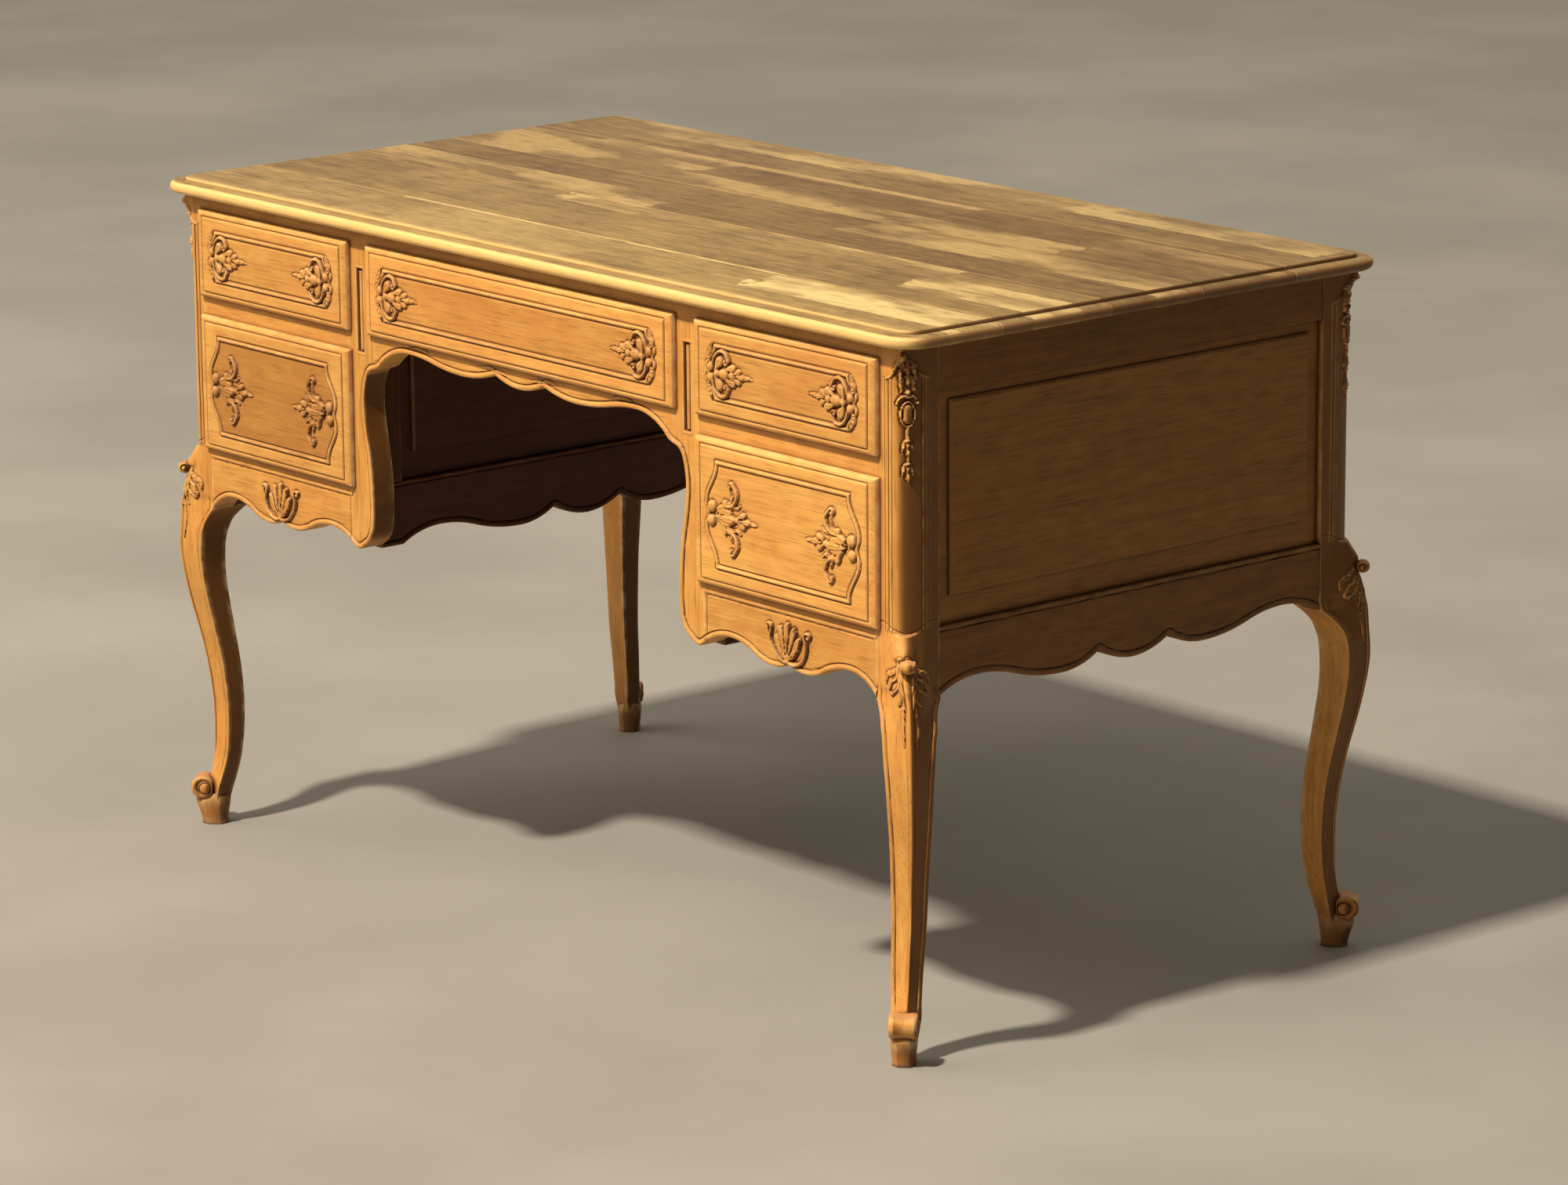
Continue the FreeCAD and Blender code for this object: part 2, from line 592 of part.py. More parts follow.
def frame_rail(x0, x1, z0, z1):
    """A plain rail of the front frame between x0 and x1, with its tenons."""
    rail = block(x0, x1, -HALF_DEPTH, -FRAME_BACK_Y, z0, z1)
    return join([rail, frame_tenon(x0, x1, z0, z1)])


def kneehole_arch():
    """The scalloped arch under the middle drawer."""
    y = -HALF_DEPTH
    half_span = CENTRE_OPENING
    lower = scalloped_runs(ARCH_LOBE_SHARES, half_span, ARCH_FOOT, ARCH_RISE, lambda u, z: V(u, y, z))
    step = [V(u, y, z) for u, z in lobe_points(ARCH_STEP_SHARES, half_span, ARCH_FOOT, ARCH_RISE)]
    mirrored = [V(-p.x, p.y, p.z) for p in reversed(step)]
    upper = [step[-1], V(half_span, y, UPPER_OPENING_FOOT), V(-half_span, y, UPPER_OPENING_FOOT), mirrored[0]]
    arch = board([mirrored] + lower + [step] + line_runs(upper), V(0, FRAME_THICKNESS, 0))
    tenons = frame_tenon(-half_span, half_span, ARCH_FOOT + ARCH_RISE - TENON_SHOULDER, UPPER_OPENING_FOOT)
    return join([arch, tenons])


def frieze_rail():
    """The rail above all three upper drawers."""
    return frame_rail(-OPENING_OUTER, OPENING_OUTER, UPPER_OPENING_TOP, TOP_UNDERSIDE)


def rounded_outline(inset, z):
    """The outline of the top in short chords, drawn in by an inset, at a height."""
    x = TOP_LENGTH / 2 - inset
    y = TOP_DEPTH / 2 - inset
    radius = TOP_CORNER_RADIUS - inset
    points = corner_chords(x, y, -1, -1, z, radius, TOP_CORNER_STEPS)
    points += reversed(corner_chords(x, -y, -1, 1, z, radius, TOP_CORNER_STEPS))
    points += corner_chords(-x, -y, 1, 1, z, radius, TOP_CORNER_STEPS)
    points += reversed(corner_chords(-x, y, 1, -1, z, radius, TOP_CORNER_STEPS))
    return Part.makePolygon(points + points[:1])


def rounded_levels(foot, head, foot_radius, head_radius, inset):
    """Insets and heights up an edge that is rounded below and above by quarter circles."""
    levels = []
    for step in range(NOSE_STEPS + 1):
        turn = math.pi / 2 * step / NOSE_STEPS
        levels.append((inset + foot_radius * (1 - math.sin(turn)), foot + foot_radius * (1 - math.cos(turn))))
    for step in range(NOSE_STEPS + 1):
        turn = math.pi / 2 * step / NOSE_STEPS
        levels.append((inset + head_radius * (1 - math.cos(turn)), head - head_radius * (1 - math.sin(turn))))
    return [levels[0]] + [level for before, level in zip(levels, levels[1:]) if level[1] > before[1]]


def top_slab():
    """The whole moulded top before it is divided into its boards."""
    field_foot = DESK_HEIGHT - TOP_FIELD_RISE
    nose = rounded_levels(TOP_UNDERSIDE, field_foot, TOP_NOSE_RADIUS, TOP_NOSE_RADIUS, 0)
    middle = (TOP_UNDERSIDE + field_foot) / 2
    field = [(TOP_FIELD_INSET, middle), (TOP_FIELD_INSET, DESK_HEIGHT - TOP_FIELD_ROUNDING),
             (TOP_FIELD_INSET + TOP_FIELD_ROUNDING, DESK_HEIGHT)]
    slabs = []
    for levels in (nose, field):
        slabs.append(Part.makeLoft([rounded_outline(inset, z) for inset, z in levels], True, True))
    return join(slabs)


def top_boards():
    """The boards of the top, glued edge to edge along its length."""
    slab = top_slab()
    half_length = TOP_LENGTH / 2 + OVERRUN
    half_depth = TOP_DEPTH / 2 + OVERRUN
    joints = [-half_depth] + [(share - 1 / 2) * TOP_DEPTH for share in TOP_JOINT_SHARES] + [half_depth]
    boards = []
    for start, end in zip(joints[:-1], joints[1:]):
        strip = block(-half_length, half_length, start, end, TOP_UNDERSIDE - OVERRUN, DESK_HEIGHT + OVERRUN)
        boards.append(slab.common(strip))
    return boards


def runner(side_x, frame_x, foot, inward):
    """A runner under one drawer side, wide enough to reach the frame it is fixed to."""
    bearer_x = sorted((side_x, side_x + inward * RUNNER_WIDTH))
    bearer = block(bearer_x[0], bearer_x[1], -FRAME_BACK_Y, REAR_INNER_Y, foot - RUNNER_HEIGHT, foot)
    if side_x == frame_x:
        return bearer
    base_x = sorted((side_x, frame_x))
    base = block(base_x[0], base_x[1], -INNER_STILE_Y, INNER_STILE_Y, foot - RUNNER_HEIGHT, foot)
    return join([bearer, base])


def guide(side_x, frame_x, foot, inward):
    """The strip on a runner that keeps the drawer side straight."""
    x0, x1 = sorted((side_x - inward * GUIDE_GAP, frame_x))
    return block(x0, x1, -INNER_STILE_Y, INNER_STILE_Y, foot, foot + GUIDE_HEIGHT)


def bank_runners():
    """Both pairs of runners of the right-hand drawers."""
    runners = []
    for foot in (UPPER_OPENING_FOOT, LOWER_OPENING_FOOT):
        runners.append(runner(OPENING_OUTER, SIDE_INNER_X, foot, -1))
        runners.append(runner(OPENING_INNER, OPENING_INNER, foot, 1))
    return runners


def centre_runners():
    """The runners of the middle drawer, fixed to the kneehole's side frames."""
    right = runner(CENTRE_OPENING, INNER_FACE_X, UPPER_OPENING_FOOT, -1)
    return [mirror_x(right), right]


def guides():
    """The guides beside every drawer that does not run against a frame."""
    right = [
        guide(OPENING_OUTER, SIDE_INNER_X, UPPER_OPENING_FOOT, -1),
        guide(OPENING_OUTER, SIDE_INNER_X, LOWER_OPENING_FOOT, -1),
        guide(CENTRE_OPENING, INNER_FACE_X, UPPER_OPENING_FOOT, -1),
    ]
    return right + [mirror_x(piece) for piece in right]


def kickers():
    """The strips above each upper drawer that stop it tipping when it is pulled out."""
    strips = []
    places = (
        (OPENING_OUTER - RUNNER_WIDTH, OPENING_OUTER),
        (OPENING_INNER, OPENING_INNER + RUNNER_WIDTH),
        (CENTRE_OPENING - RUNNER_WIDTH, CENTRE_OPENING),
    )
    for x0, x1 in places:
        strip = block(x0, x1, -FRAME_BACK_Y, REAR_INNER_Y, UPPER_OPENING_TOP, TOP_UNDERSIDE)
        strips += [mirror_x(strip), strip]
    return strips


def top_block(x0, x1, y0, y1):
    """A glue block under the top."""
    return block(x0, x1, y0, y1, TOP_UNDERSIDE - BLOCK_HEIGHT, TOP_UNDERSIDE)


def top_blocks():
    """The rubbed glue blocks in the angle between the top and the rails."""
    blocks = []
    half = BLOCK_LENGTH / 2
    for share in BLOCK_PLACE_SHARES:
        middle_y = share * POST_INNER_Y
        side = top_block(SIDE_INNER_X - BLOCK_DEPTH, SIDE_INNER_X, middle_y - half, middle_y + half)
        middle_x = share * CENTRE_OPENING
        back = top_block(middle_x - half, middle_x + half, REAR_INNER_Y - BLOCK_DEPTH, REAR_INNER_Y)
        front = top_block(middle_x - half, middle_x + half, -FRAME_BACK_Y, -FRAME_BACK_Y + BLOCK_DEPTH)
        blocks += [side, mirror_x(side), back, front]
    return blocks


def panel_outline(x0, x1, z0, z1, y):
    """The serpentine-ended panel on a drawer front."""
    middle_z = (z0 + z1) / 2
    left = [V(x0, y, z0), V(x0 - PANEL_BULGE, y, middle_z), V(x0, y, z1)]
    right = [V(x1, y, z1), V(x1 + PANEL_BULGE, y, middle_z), V(x1, y, z0)]
    return [left, [left[-1], right[0]], right, [right[-1], left[0]]]


def lip_outline(x0, x1, z0, z1, y, inset):
    """The rectangle of a drawer's lip, drawn in by an inset, in the plane at y."""
    points = [V(x0 + inset, y, z0 + inset), V(x1 - inset, y, z0 + inset),
              V(x1 - inset, y, z1 - inset), V(x0 + inset, y, z1 - inset)]
    return Part.makePolygon(points + points[:1])


def rounded_lip(x0, x1, z0, z1, face_y):
    """The lip of a drawer front, rounded over in short chords towards its face."""
    outlines = [lip_outline(x0, x1, z0, z1, -HALF_DEPTH, 0)]
    for step in range(LIP_STEPS + 1):
        turn = math.pi / 2 * step / LIP_STEPS
        inset = LIP_ROUNDING * (1 - math.cos(turn))
        outlines.append(lip_outline(x0, x1, z0, z1, face_y + LIP_ROUNDING * (1 - math.sin(turn)), inset))
    return Part.makeLoft(outlines, True, True)


def drawer_front(x0, x1, z0, z1):
    """A lipped drawer front: rounded lip, flat face and raised panel, seen from the front."""
    face_y = -HALF_DEPTH - LIP_PROUD
    lip = rounded_lip(x0, x1, z0, z1, face_y)
    field = block(
        x0 + FIELD_INSET, x1 - FIELD_INSET, face_y - FIELD_PROUD, face_y + FIELD_PROUD,
        z0 + FIELD_INSET, z1 - FIELD_INSET,
    )
    panel = board(
        panel_outline(x0 + PANEL_END_MARGIN, x1 - PANEL_END_MARGIN, z0 + PANEL_MARGIN, z1 - PANEL_MARGIN,
                      face_y - FIELD_PROUD - PANEL_PROUD),
        V(0, PANEL_PROUD * 2, 0),
    )
    tongue = LIP_OVERLAP + FRONT_CLEARANCE
    inside = block(
        x0 + tongue, x1 - tongue, -HALF_DEPTH, -HALF_DEPTH + FRONT_INSIDE, z0 + tongue, z1 - tongue,
    )
    return join([lip, field, panel, inside])


def drawer_side(x0, inward, z0, z1):
    """One side of a drawer with its dovetails at the front; x0 is its outer face."""
    x1 = x0 + inward * SIDE_THICKNESS
    front_y = -HALF_DEPTH + FRONT_INSIDE
    low_x, high_x = sorted((x0, x1))
    side = block(low_x, high_x, front_y, DRAWER_END_Y, z0, z1)
    count = max(1, int((z1 - z0 - TAIL_WIDE) // TAIL_PITCH) + 1)
    first = (z0 + z1) / 2 - (count - 1) * TAIL_PITCH / 2
    tails = []
    inset_x = x0 + inward * (FRONT_CLEARANCE - SIDE_CLEARANCE)
    for index in range(count):
        middle = first + index * TAIL_PITCH
        points = [
            V(inset_x, front_y - TAIL_LENGTH, middle - TAIL_WIDE / 2),
            V(inset_x, front_y - TAIL_LENGTH, middle + TAIL_WIDE / 2),
            V(inset_x, front_y, middle + TAIL_NARROW / 2),
            V(inset_x, front_y, middle - TAIL_NARROW / 2),
        ]
        tails.append(board(line_runs(points + points[:1]), V(x1 - inset_x, 0, 0)))
    return join([side] + tails)


def drawer(x0, x1, z0, z1):
    """The pieces of the drawer whose front covers x0 to x1 and z0 to z1."""
    outer_left = x0 + LIP_OVERLAP + SIDE_CLEARANCE
    outer_right = x1 - LIP_OVERLAP - SIDE_CLEARANCE
    foot = z0 + LIP_OVERLAP
    top = z1 - LIP_OVERLAP - TOP_CLEARANCE
    inner_left = outer_left + SIDE_THICKNESS
    inner_right = outer_right - SIDE_THICKNESS
    bottom_z = foot + BOTTOM_LIFT
    bottom = block(
        inner_left - GROOVE_DEPTH, inner_right + GROOVE_DEPTH,
        -HALF_DEPTH + FRONT_INSIDE - GROOVE_DEPTH, DRAWER_END_Y, bottom_z, bottom_z + BOTTOM_THICKNESS,
    )
    back = block(
        inner_left - GROOVE_DEPTH, inner_right + GROOVE_DEPTH,
        DRAWER_END_Y - BACK_INSET - BACK_THICKNESS, DRAWER_END_Y - BACK_INSET,
        bottom_z + BOTTOM_THICKNESS, top - BACK_DROP,
    )
    sides = [drawer_side(outer_left, 1, foot, top), drawer_side(outer_right, -1, foot, top)]
    front = cut_all(drawer_front(x0, x1, z0, z1), sides + [bottom])
    sides = [cut_all(side, [bottom, back]) for side in sides]
    return {"front": [front], "sides": sides, "back": [back], "bottom": [bottom]}


def pedestal_frame_pieces():
    """The right-hand half of the carcass between the posts, as named pieces."""
    pieces = {
        "side_panel": side_panel(POST_INNER_Y, SIDE_FACE_X, SIDE_INNER_X),
        "kneehole_panel": side_panel(INNER_STILE_Y, INNER_FACE_X, OPENING_INNER),
        "front_apron": pedestal_apron(),
        "drawer_divider": frame_rail(OPENING_INNER, OPENING_OUTER, LOWER_OPENING_TOP, UPPER_OPENING_FOOT),
    }
    panels = [pieces["side_panel"], pieces["kneehole_panel"]]
    pieces["side_top_rail"] = side_rail(POST_INNER_Y, SIDE_INNER_X, SIDE_FACE_X).cut(panels[0])
    pieces["side_apron"] = side_apron(POST_INNER_Y, SIDE_INNER_X, SIDE_FACE_X).cut(panels[0])
    pieces["kneehole_top_rail"] = side_rail(INNER_STILE_Y, INNER_FACE_X, OPENING_INNER).cut(panels[1])
    pieces["kneehole_side_apron"] = side_apron(INNER_STILE_Y, INNER_FACE_X, OPENING_INNER).cut(panels[1])
    return pieces


def back_frame_pieces():
    """The back frame: plain rails and stiles turned round, with panels in place of the drawers."""
    top = UPPER_OPENING_TOP
    pieces = {
        "back_panel": back_panel(OPENING_INNER, OPENING_OUTER, LOWER_OPENING_FOOT, top),
        "back_centre_panel": back_panel(-CENTRE_OPENING, CENTRE_OPENING, UPPER_OPENING_FOOT, top),
    }
    shift = V(0, -SET_BACK, 0)
    foot = FRONT_APRON_LOW + FRONT_APRON_RISE
    pieces["back_apron"] = mirror_y(frame_rail(OPENING_INNER, OPENING_OUTER, foot, LOWER_OPENING_FOOT))
    foot = ARCH_FOOT + ARCH_RISE / 2
    pieces["back_knee_rail"] = mirror_y(frame_rail(-CENTRE_OPENING, CENTRE_OPENING, foot, UPPER_OPENING_FOOT))
    pieces["back_top_rail"] = mirror_y(frieze_rail())
    pieces["back_stile"] = mirror_y(back_stile())
    for name in ("back_apron", "back_knee_rail", "back_top_rail", "back_stile"):
        pieces[name].translate(shift)
    return pieces


def back_stile():
    """An inner stile of the back frame, straight and plain, with its return."""
    foot = FRONT_APRON_LOW + FRONT_APRON_RISE
    top = UPPER_OPENING_TOP
    front = block(CENTRE_OPENING, OPENING_INNER, -HALF_DEPTH, -FRAME_BACK_Y, FRONT_APRON_LOW, top)
    back = block(
        INNER_FACE_X, OPENING_INNER, -FRAME_BACK_Y, -INNER_STILE_Y - SET_BACK, foot, UPPER_OPENING_TOP,
    )
    return join([front, back])


def carcass():
    """Every fixed piece of the desk, by name."""
    nodes = {}
    half = pedestal_frame_pieces()
    rear = back_frame_pieces()
    both_panels = [rear["back_panel"], mirror_x(rear["back_panel"]), rear["back_centre_panel"]]
    arch = kneehole_arch()
    frieze = frieze_rail()
    right_stile = cut_all(inner_stile(), [
        half["kneehole_panel"], half["kneehole_top_rail"], half["kneehole_side_apron"],
        half["front_apron"], half["drawer_divider"], arch, frieze,
    ])
    back_apron = cut_all(rear["back_apron"], [rear["back_panel"]])
    back_stile = cut_all(rear["back_stile"], [
        half["kneehole_panel"], half["kneehole_top_rail"], half["kneehole_side_apron"],
        back_apron, rear["back_knee_rail"], rear["back_top_rail"], rear["back_panel"],
        rear["back_centre_panel"],
    ])
    corner = cut_all(post_and_leg(), [half["side_panel"], half["side_top_rail"], half["side_apron"]])
    front_post = cut_all(mirror_y(corner), [half["front_apron"], half["drawer_divider"], frieze])
    back_post = cut_all(corner, [back_apron, rear["back_top_rail"], rear["back_panel"]])
    kneehole_rail = cut_all(half["kneehole_top_rail"], [frieze, rear["back_top_rail"]])
    pairs = {
        "front_post": front_post,
        "back_post": back_post,
        "side_top_rail": half["side_top_rail"],
        "side_panel": half["side_panel"],
        "side_apron": half["side_apron"],
        "front_stile": right_stile,
        "back_stile": back_stile,
        "kneehole_top_rail": kneehole_rail,
        "kneehole_panel": half["kneehole_panel"],
        "kneehole_side_apron": half["kneehole_side_apron"],
        "drawer_divider": half["drawer_divider"],
        "front_apron": half["front_apron"],
        "back_apron": back_apron,
        "back_panel": rear["back_panel"],
    }
    for name, piece in pairs.items():
        nodes[name + "_right"] = [piece]
        nodes[name + "_left"] = [mirror_x(piece)]
    nodes["frieze_rail"] = [frieze]
    nodes["kneehole_arch"] = [arch]
    nodes["back_top_rail"] = [cut_all(rear["back_top_rail"], both_panels)]
    nodes["back_knee_rail"] = [cut_all(rear["back_knee_rail"], both_panels)]
    nodes["back_centre_panel"] = [rear["back_centre_panel"]]
    nodes["top_boards"] = top_boards()
    nodes["runners_right"] = bank_runners()
    nodes["runners_left"] = [mirror_x(piece) for piece in bank_runners()]
    nodes["runners_centre"] = centre_runners()
    nodes["drawer_guides"] = guides()
    nodes["kickers"] = kickers()
    nodes["glue_blocks"] = top_blocks()
    return nodes


def drawers():
    """The five drawers, by name."""
    places = {
        "upper_right": (BANK_INNER, BANK_OUTER, UPPER_FRONT_FOOT, UPPER_FRONT_TOP),
        "lower_right": (BANK_INNER, BANK_OUTER, LOWER_FRONT_FOOT, LOWER_FRONT_TOP),
        "centre": (-CENTRE_HALF, CENTRE_HALF, UPPER_FRONT_FOOT, UPPER_FRONT_TOP),
    }
    nodes = {}
    for place, sizes in places.items():
        for piece, shapes in drawer(*sizes).items():
            nodes[place + "_drawer_" + piece] = shapes
            if place != "centre":
                left = place.replace("right", "left")
                nodes[left + "_drawer_" + piece] = [mirror_x(shape) for shape in shapes]
    return nodes


def save(name, shapes):
    """Writes one piece, or one group of like pieces, under its name."""
    solids = [solid for shape in shapes for solid in shape.Solids]
    whole = solids[0] if len(solids) == 1 else Part.makeCompound(solids)
    print(name, len(solids), round(sum(solid.Volume for solid in solids)), whole.isValid())
    whole.exportStep("parts/" + name + ".step")


os.makedirs("parts", exist_ok=True)
for node, solids in {**carcass(), **drawers()}.items():
    save(node, solids)
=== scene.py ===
"""Dresses the carved oak kneehole writing desk around its frame of separate pieces."""

import logging
import math
from collections.abc import Callable, Sequence
from dataclasses import dataclass, field, replace
from enum import Enum

import bmesh
import bpy
import numpy as np
from mathutils import Matrix, Vector

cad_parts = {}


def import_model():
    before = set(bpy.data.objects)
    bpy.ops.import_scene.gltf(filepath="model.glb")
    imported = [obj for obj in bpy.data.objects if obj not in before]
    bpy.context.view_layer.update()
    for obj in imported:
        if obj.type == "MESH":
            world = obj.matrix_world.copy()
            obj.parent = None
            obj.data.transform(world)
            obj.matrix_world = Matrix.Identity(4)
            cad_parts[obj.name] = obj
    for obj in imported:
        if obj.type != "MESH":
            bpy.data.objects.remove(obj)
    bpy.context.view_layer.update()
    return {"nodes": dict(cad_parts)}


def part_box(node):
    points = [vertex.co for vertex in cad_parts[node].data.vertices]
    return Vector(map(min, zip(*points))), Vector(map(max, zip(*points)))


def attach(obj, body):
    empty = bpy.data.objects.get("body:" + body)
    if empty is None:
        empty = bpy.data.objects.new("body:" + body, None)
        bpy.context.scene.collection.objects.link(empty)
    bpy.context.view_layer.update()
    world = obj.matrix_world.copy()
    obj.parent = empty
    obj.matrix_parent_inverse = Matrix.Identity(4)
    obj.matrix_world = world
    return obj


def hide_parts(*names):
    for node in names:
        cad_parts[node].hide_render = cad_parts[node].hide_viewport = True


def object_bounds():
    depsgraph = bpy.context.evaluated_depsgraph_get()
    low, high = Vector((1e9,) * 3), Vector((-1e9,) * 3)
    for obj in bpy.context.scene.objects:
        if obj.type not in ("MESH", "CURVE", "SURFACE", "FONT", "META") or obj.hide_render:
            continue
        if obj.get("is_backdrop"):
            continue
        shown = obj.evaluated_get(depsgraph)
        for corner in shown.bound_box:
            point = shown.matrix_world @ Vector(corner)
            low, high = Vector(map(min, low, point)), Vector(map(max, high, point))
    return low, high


# One millimetre in metres, which are the scene's units. All other lengths here are in millimetres.
MM = 0.001
# The least square of a length, so that nothing is divided by zero.
TINY = 1e-9
# Three points lie on a line where four times their triangle's area is less than this.
STRAIGHT = 1e-6
# Points nearer than this become one.
WELD = 0.005
# Carving higher than this covers what lies below it.
RAISED = 0.02
# A distance at which no moulding shows.
FAR = 99.0
# Where the rows of points lie on a board's edges, from its face to its back.
WALL_SHARES = (0.05, 0.5, 0.95)
CASE_BODY = "case"
log = logging.getLogger("desk")

Colour = tuple[float, float, float]
Place = tuple[float, float]
Span = tuple[float, float]
Spot = tuple[float, float, float]
Box = Sequence[Sequence[float]]
Socket = bpy.types.NodeSocket


class Grain(Enum):
    """The axis that a board's grain follows."""

    ALONG_X = 0
    ALONG_Y = 1
    ALONG_Z = 2

    def drawn_out(self, share: float) -> Spot:
        """Scales that draw a pattern out along the grain."""
        return tuple(share if axis == self.value else 1.0 for axis in range(3))


class Surface(Enum):
    """How finely a piece is meshed, which decides how its wear is found."""

    PLAIN = "plain"
    CARVED = "carved"


@dataclass(frozen=True)
class Desk:
    """Sizes of the desk in millimetres, as its frame has them."""

    half_length: float = 622.0
    half_depth: float = 324.0
    top_length: float = 1300.0
    top_depth: float = 684.0
    height: float = 770.0
    top_thickness: float = 17.0
    bank_inner: float = 302.0
    bank_outer: float = 590.0
    centre_half: float = 269.0
    opening_inner: float = 309.0
    opening_outer: float = 583.0
    centre_opening: float = 262.0
    upper_top: float = 738.0
    upper_foot: float = 636.0
    lower_top: float = 615.0
    lower_foot: float = 457.0
    opening_top: float = 731.0
    arch_top: float = 643.0
    apron_top: float = 464.0
    frame_thickness: float = 28.0
    stile_inner_y: float = 266.0
    side_face: float = 621.0
    inner_face: float = 293.0
    shoulder: float = 456.0
    knee: float = 384.0
    foot_x: float = 612.0
    foot_y: float = 314.0
    leg_reach: float = 30.0

    @property
    def top_underside(self) -> float:
        """Height of the underside of the top."""
        return self.height - self.top_thickness

    @property
    def frame_back(self) -> float:
        """How far in front of the middle the front frame's back lies."""
        return self.half_depth - self.frame_thickness


DESK = Desk()


def spline(xs: Sequence[float], ys: Sequence[float], at: np.ndarray) -> np.ndarray:
    """A natural cubic curve through given points.

    Args:
        xs: Rising places of the points.
        ys: Their values.
        at: Places to read.

    Returns:
        The curve's values at those places.
    """
    x = np.asarray(xs, float)
    y = np.asarray(ys, float)
    step = np.diff(x)
    count = len(x)
    matrix = np.eye(count)
    right = np.zeros(count)
    for i in range(1, count - 1):
        matrix[i, i - 1 : i + 2] = (step[i - 1], 2 * (step[i - 1] + step[i]), step[i])
        right[i] = 6 * ((y[i + 1] - y[i]) / step[i] - (y[i] - y[i - 1]) / step[i - 1])
    bend = np.linalg.solve(matrix, right)
    k = np.clip(np.searchsorted(x, at) - 1, 0, count - 2)
    a = (x[k + 1] - at) / step[k]
    b = (at - x[k]) / step[k]
    arch = ((a**3 - a) * bend[k] + (b**3 - b) * bend[k + 1]) * step[k] ** 2 / 6
    return a * y[k] + b * y[k + 1] + arch


def smooth_curve(points: Sequence[Place], steps: int = 8) -> np.ndarray:
    """Points along a smooth curve that passes through the given ones.

    Args:
        points: Places that the curve passes through.
        steps: New points for each stretch.

    Returns:
        An array of places.
    """
    p = np.asarray(points, float)
    if len(p) < 3:
        share = np.linspace(0, 1, steps + 1)[:, None]
        return p[0] + (p[-1] - p[0]) * share
    padded = np.vstack([2 * p[0] - p[1], p, 2 * p[-1] - p[-2]])
    t = np.linspace(0, 1, steps, endpoint=False)[:, None]
    runs = []
    for a, b, c, d in zip(padded, padded[1:], padded[2:], padded[3:]):
        squared = (2 * a - 5 * b + 4 * c - d) * t**2
        cubed = (3 * b - a - 3 * c + d) * t**3
        runs.append(0.5 * (2 * b + (c - a) * t + squared + cubed))
    return np.vstack(runs + [p[-1:]])


def through_arcs(points: Sequence[Place], steps: int = 7) -> np.ndarray:
    """Places along the arcs through each three of an odd run of points.

    Args:
        points: The run of points; each arc ends where the next one starts.
        steps: New places for each arc.

    Returns:
        An array of places.
    """
    run = [np.array(points[:1], float)]
    for a, b, c in zip(points[0::2], points[1::2], points[2::2]):
        (ax, az), (bx, bz), (cx, cz) = a, b, c
        twice = 2 * (ax * (bz - cz) + bx * (cz - az) + cx * (az - bz))
        share = np.linspace(0, 1, steps + 1)[1:]
        if abs(twice) < STRAIGHT:
            run.append(np.stack([ax + (cx - ax) * share, az + (cz - az) * share], axis=1))
            continue
        sa, sb, sc = ax**2 + az**2, bx**2 + bz**2, cx**2 + cz**2
        mx = (sa * (bz - cz) + sb * (cz - az) + sc * (az - bz)) / twice
        mz = (sa * (cx - bx) + sb * (ax - cx) + sc * (bx - ax)) / twice
        first, middle, last = (math.atan2(z - mz, x - mx) for x, z in (a, b, c))
        turn = (last - first) % math.tau
        if (middle - first) % math.tau > turn:
            turn -= math.tau
        radius = math.hypot(ax - mx, az - mz)
        angle = first + turn * share
        run.append(np.stack([mx + radius * np.cos(angle), mz + radius * np.sin(angle)], axis=1))
    return np.vstack(run)


def scallops(
    runs: Sequence[Sequence[Place]], width: float, low: float, rise: float, start: float = 0.0,
) -> np.ndarray:
    """Places along an edge of arcs that is given by its shares of a width and a rise.

    Args:
        runs: Runs of points as shares, each from the end of the one before it.
        width: The edge's width, negative to run to the left.
        low: Height of its lowest places.
        rise: How far its highest places lie above them.
        start: Where it starts.

    Returns:
        An array of places.
    """
    arcs = [through_arcs([(start + u * width, low + v * rise) for u, v in run]) for run in runs]
    return np.vstack([arcs[0]] + [run[1:] for run in arcs[1:]])


def line_distance(line: np.ndarray, u: np.ndarray, v: np.ndarray) -> np.ndarray:
    """Distance of places from a line of many short stretches.

    Args:
        line: The line's points.
        u: The places' first coordinates.
        v: The places' second coordinates.

    Returns:
        The distance at each place.
    """
    best = np.full(u.shape, np.inf)
    for start, run in zip(line[:-1], np.diff(line, axis=0)):
        length = max(float(run @ run), TINY)
        t = np.clip(((u - start[0]) * run[0] + (v - start[1]) * run[1]) / length, 0, 1)
        best = np.minimum(best, (u - start[0] - t * run[0]) ** 2 + (v - start[1] - t * run[1]) ** 2)
    return np.sqrt(best)


def ease(value: np.ndarray, low: float, high: float) -> np.ndarray:
    """A smooth step from 0 at low to 1 at high."""
    t = np.clip((value - low) / (high - low), 0, 1)
    return t * t * (3 - 2 * t)


def bead(distance: np.ndarray, middle: float, half: float, rise: float) -> np.ndarray:
    """The height of a half-round bead at a distance from its line."""
    return rise * np.sqrt(np.clip(1 - ((distance - middle) / half) ** 2, 0, 1))


def quirk(distance: np.ndarray, middle: float, half: float, depth: float) -> np.ndarray:
    """The depth of a narrow incised line, as a height below the surface."""
    return -depth * np.clip(1 - np.abs(distance - middle) / half, 0, 1)


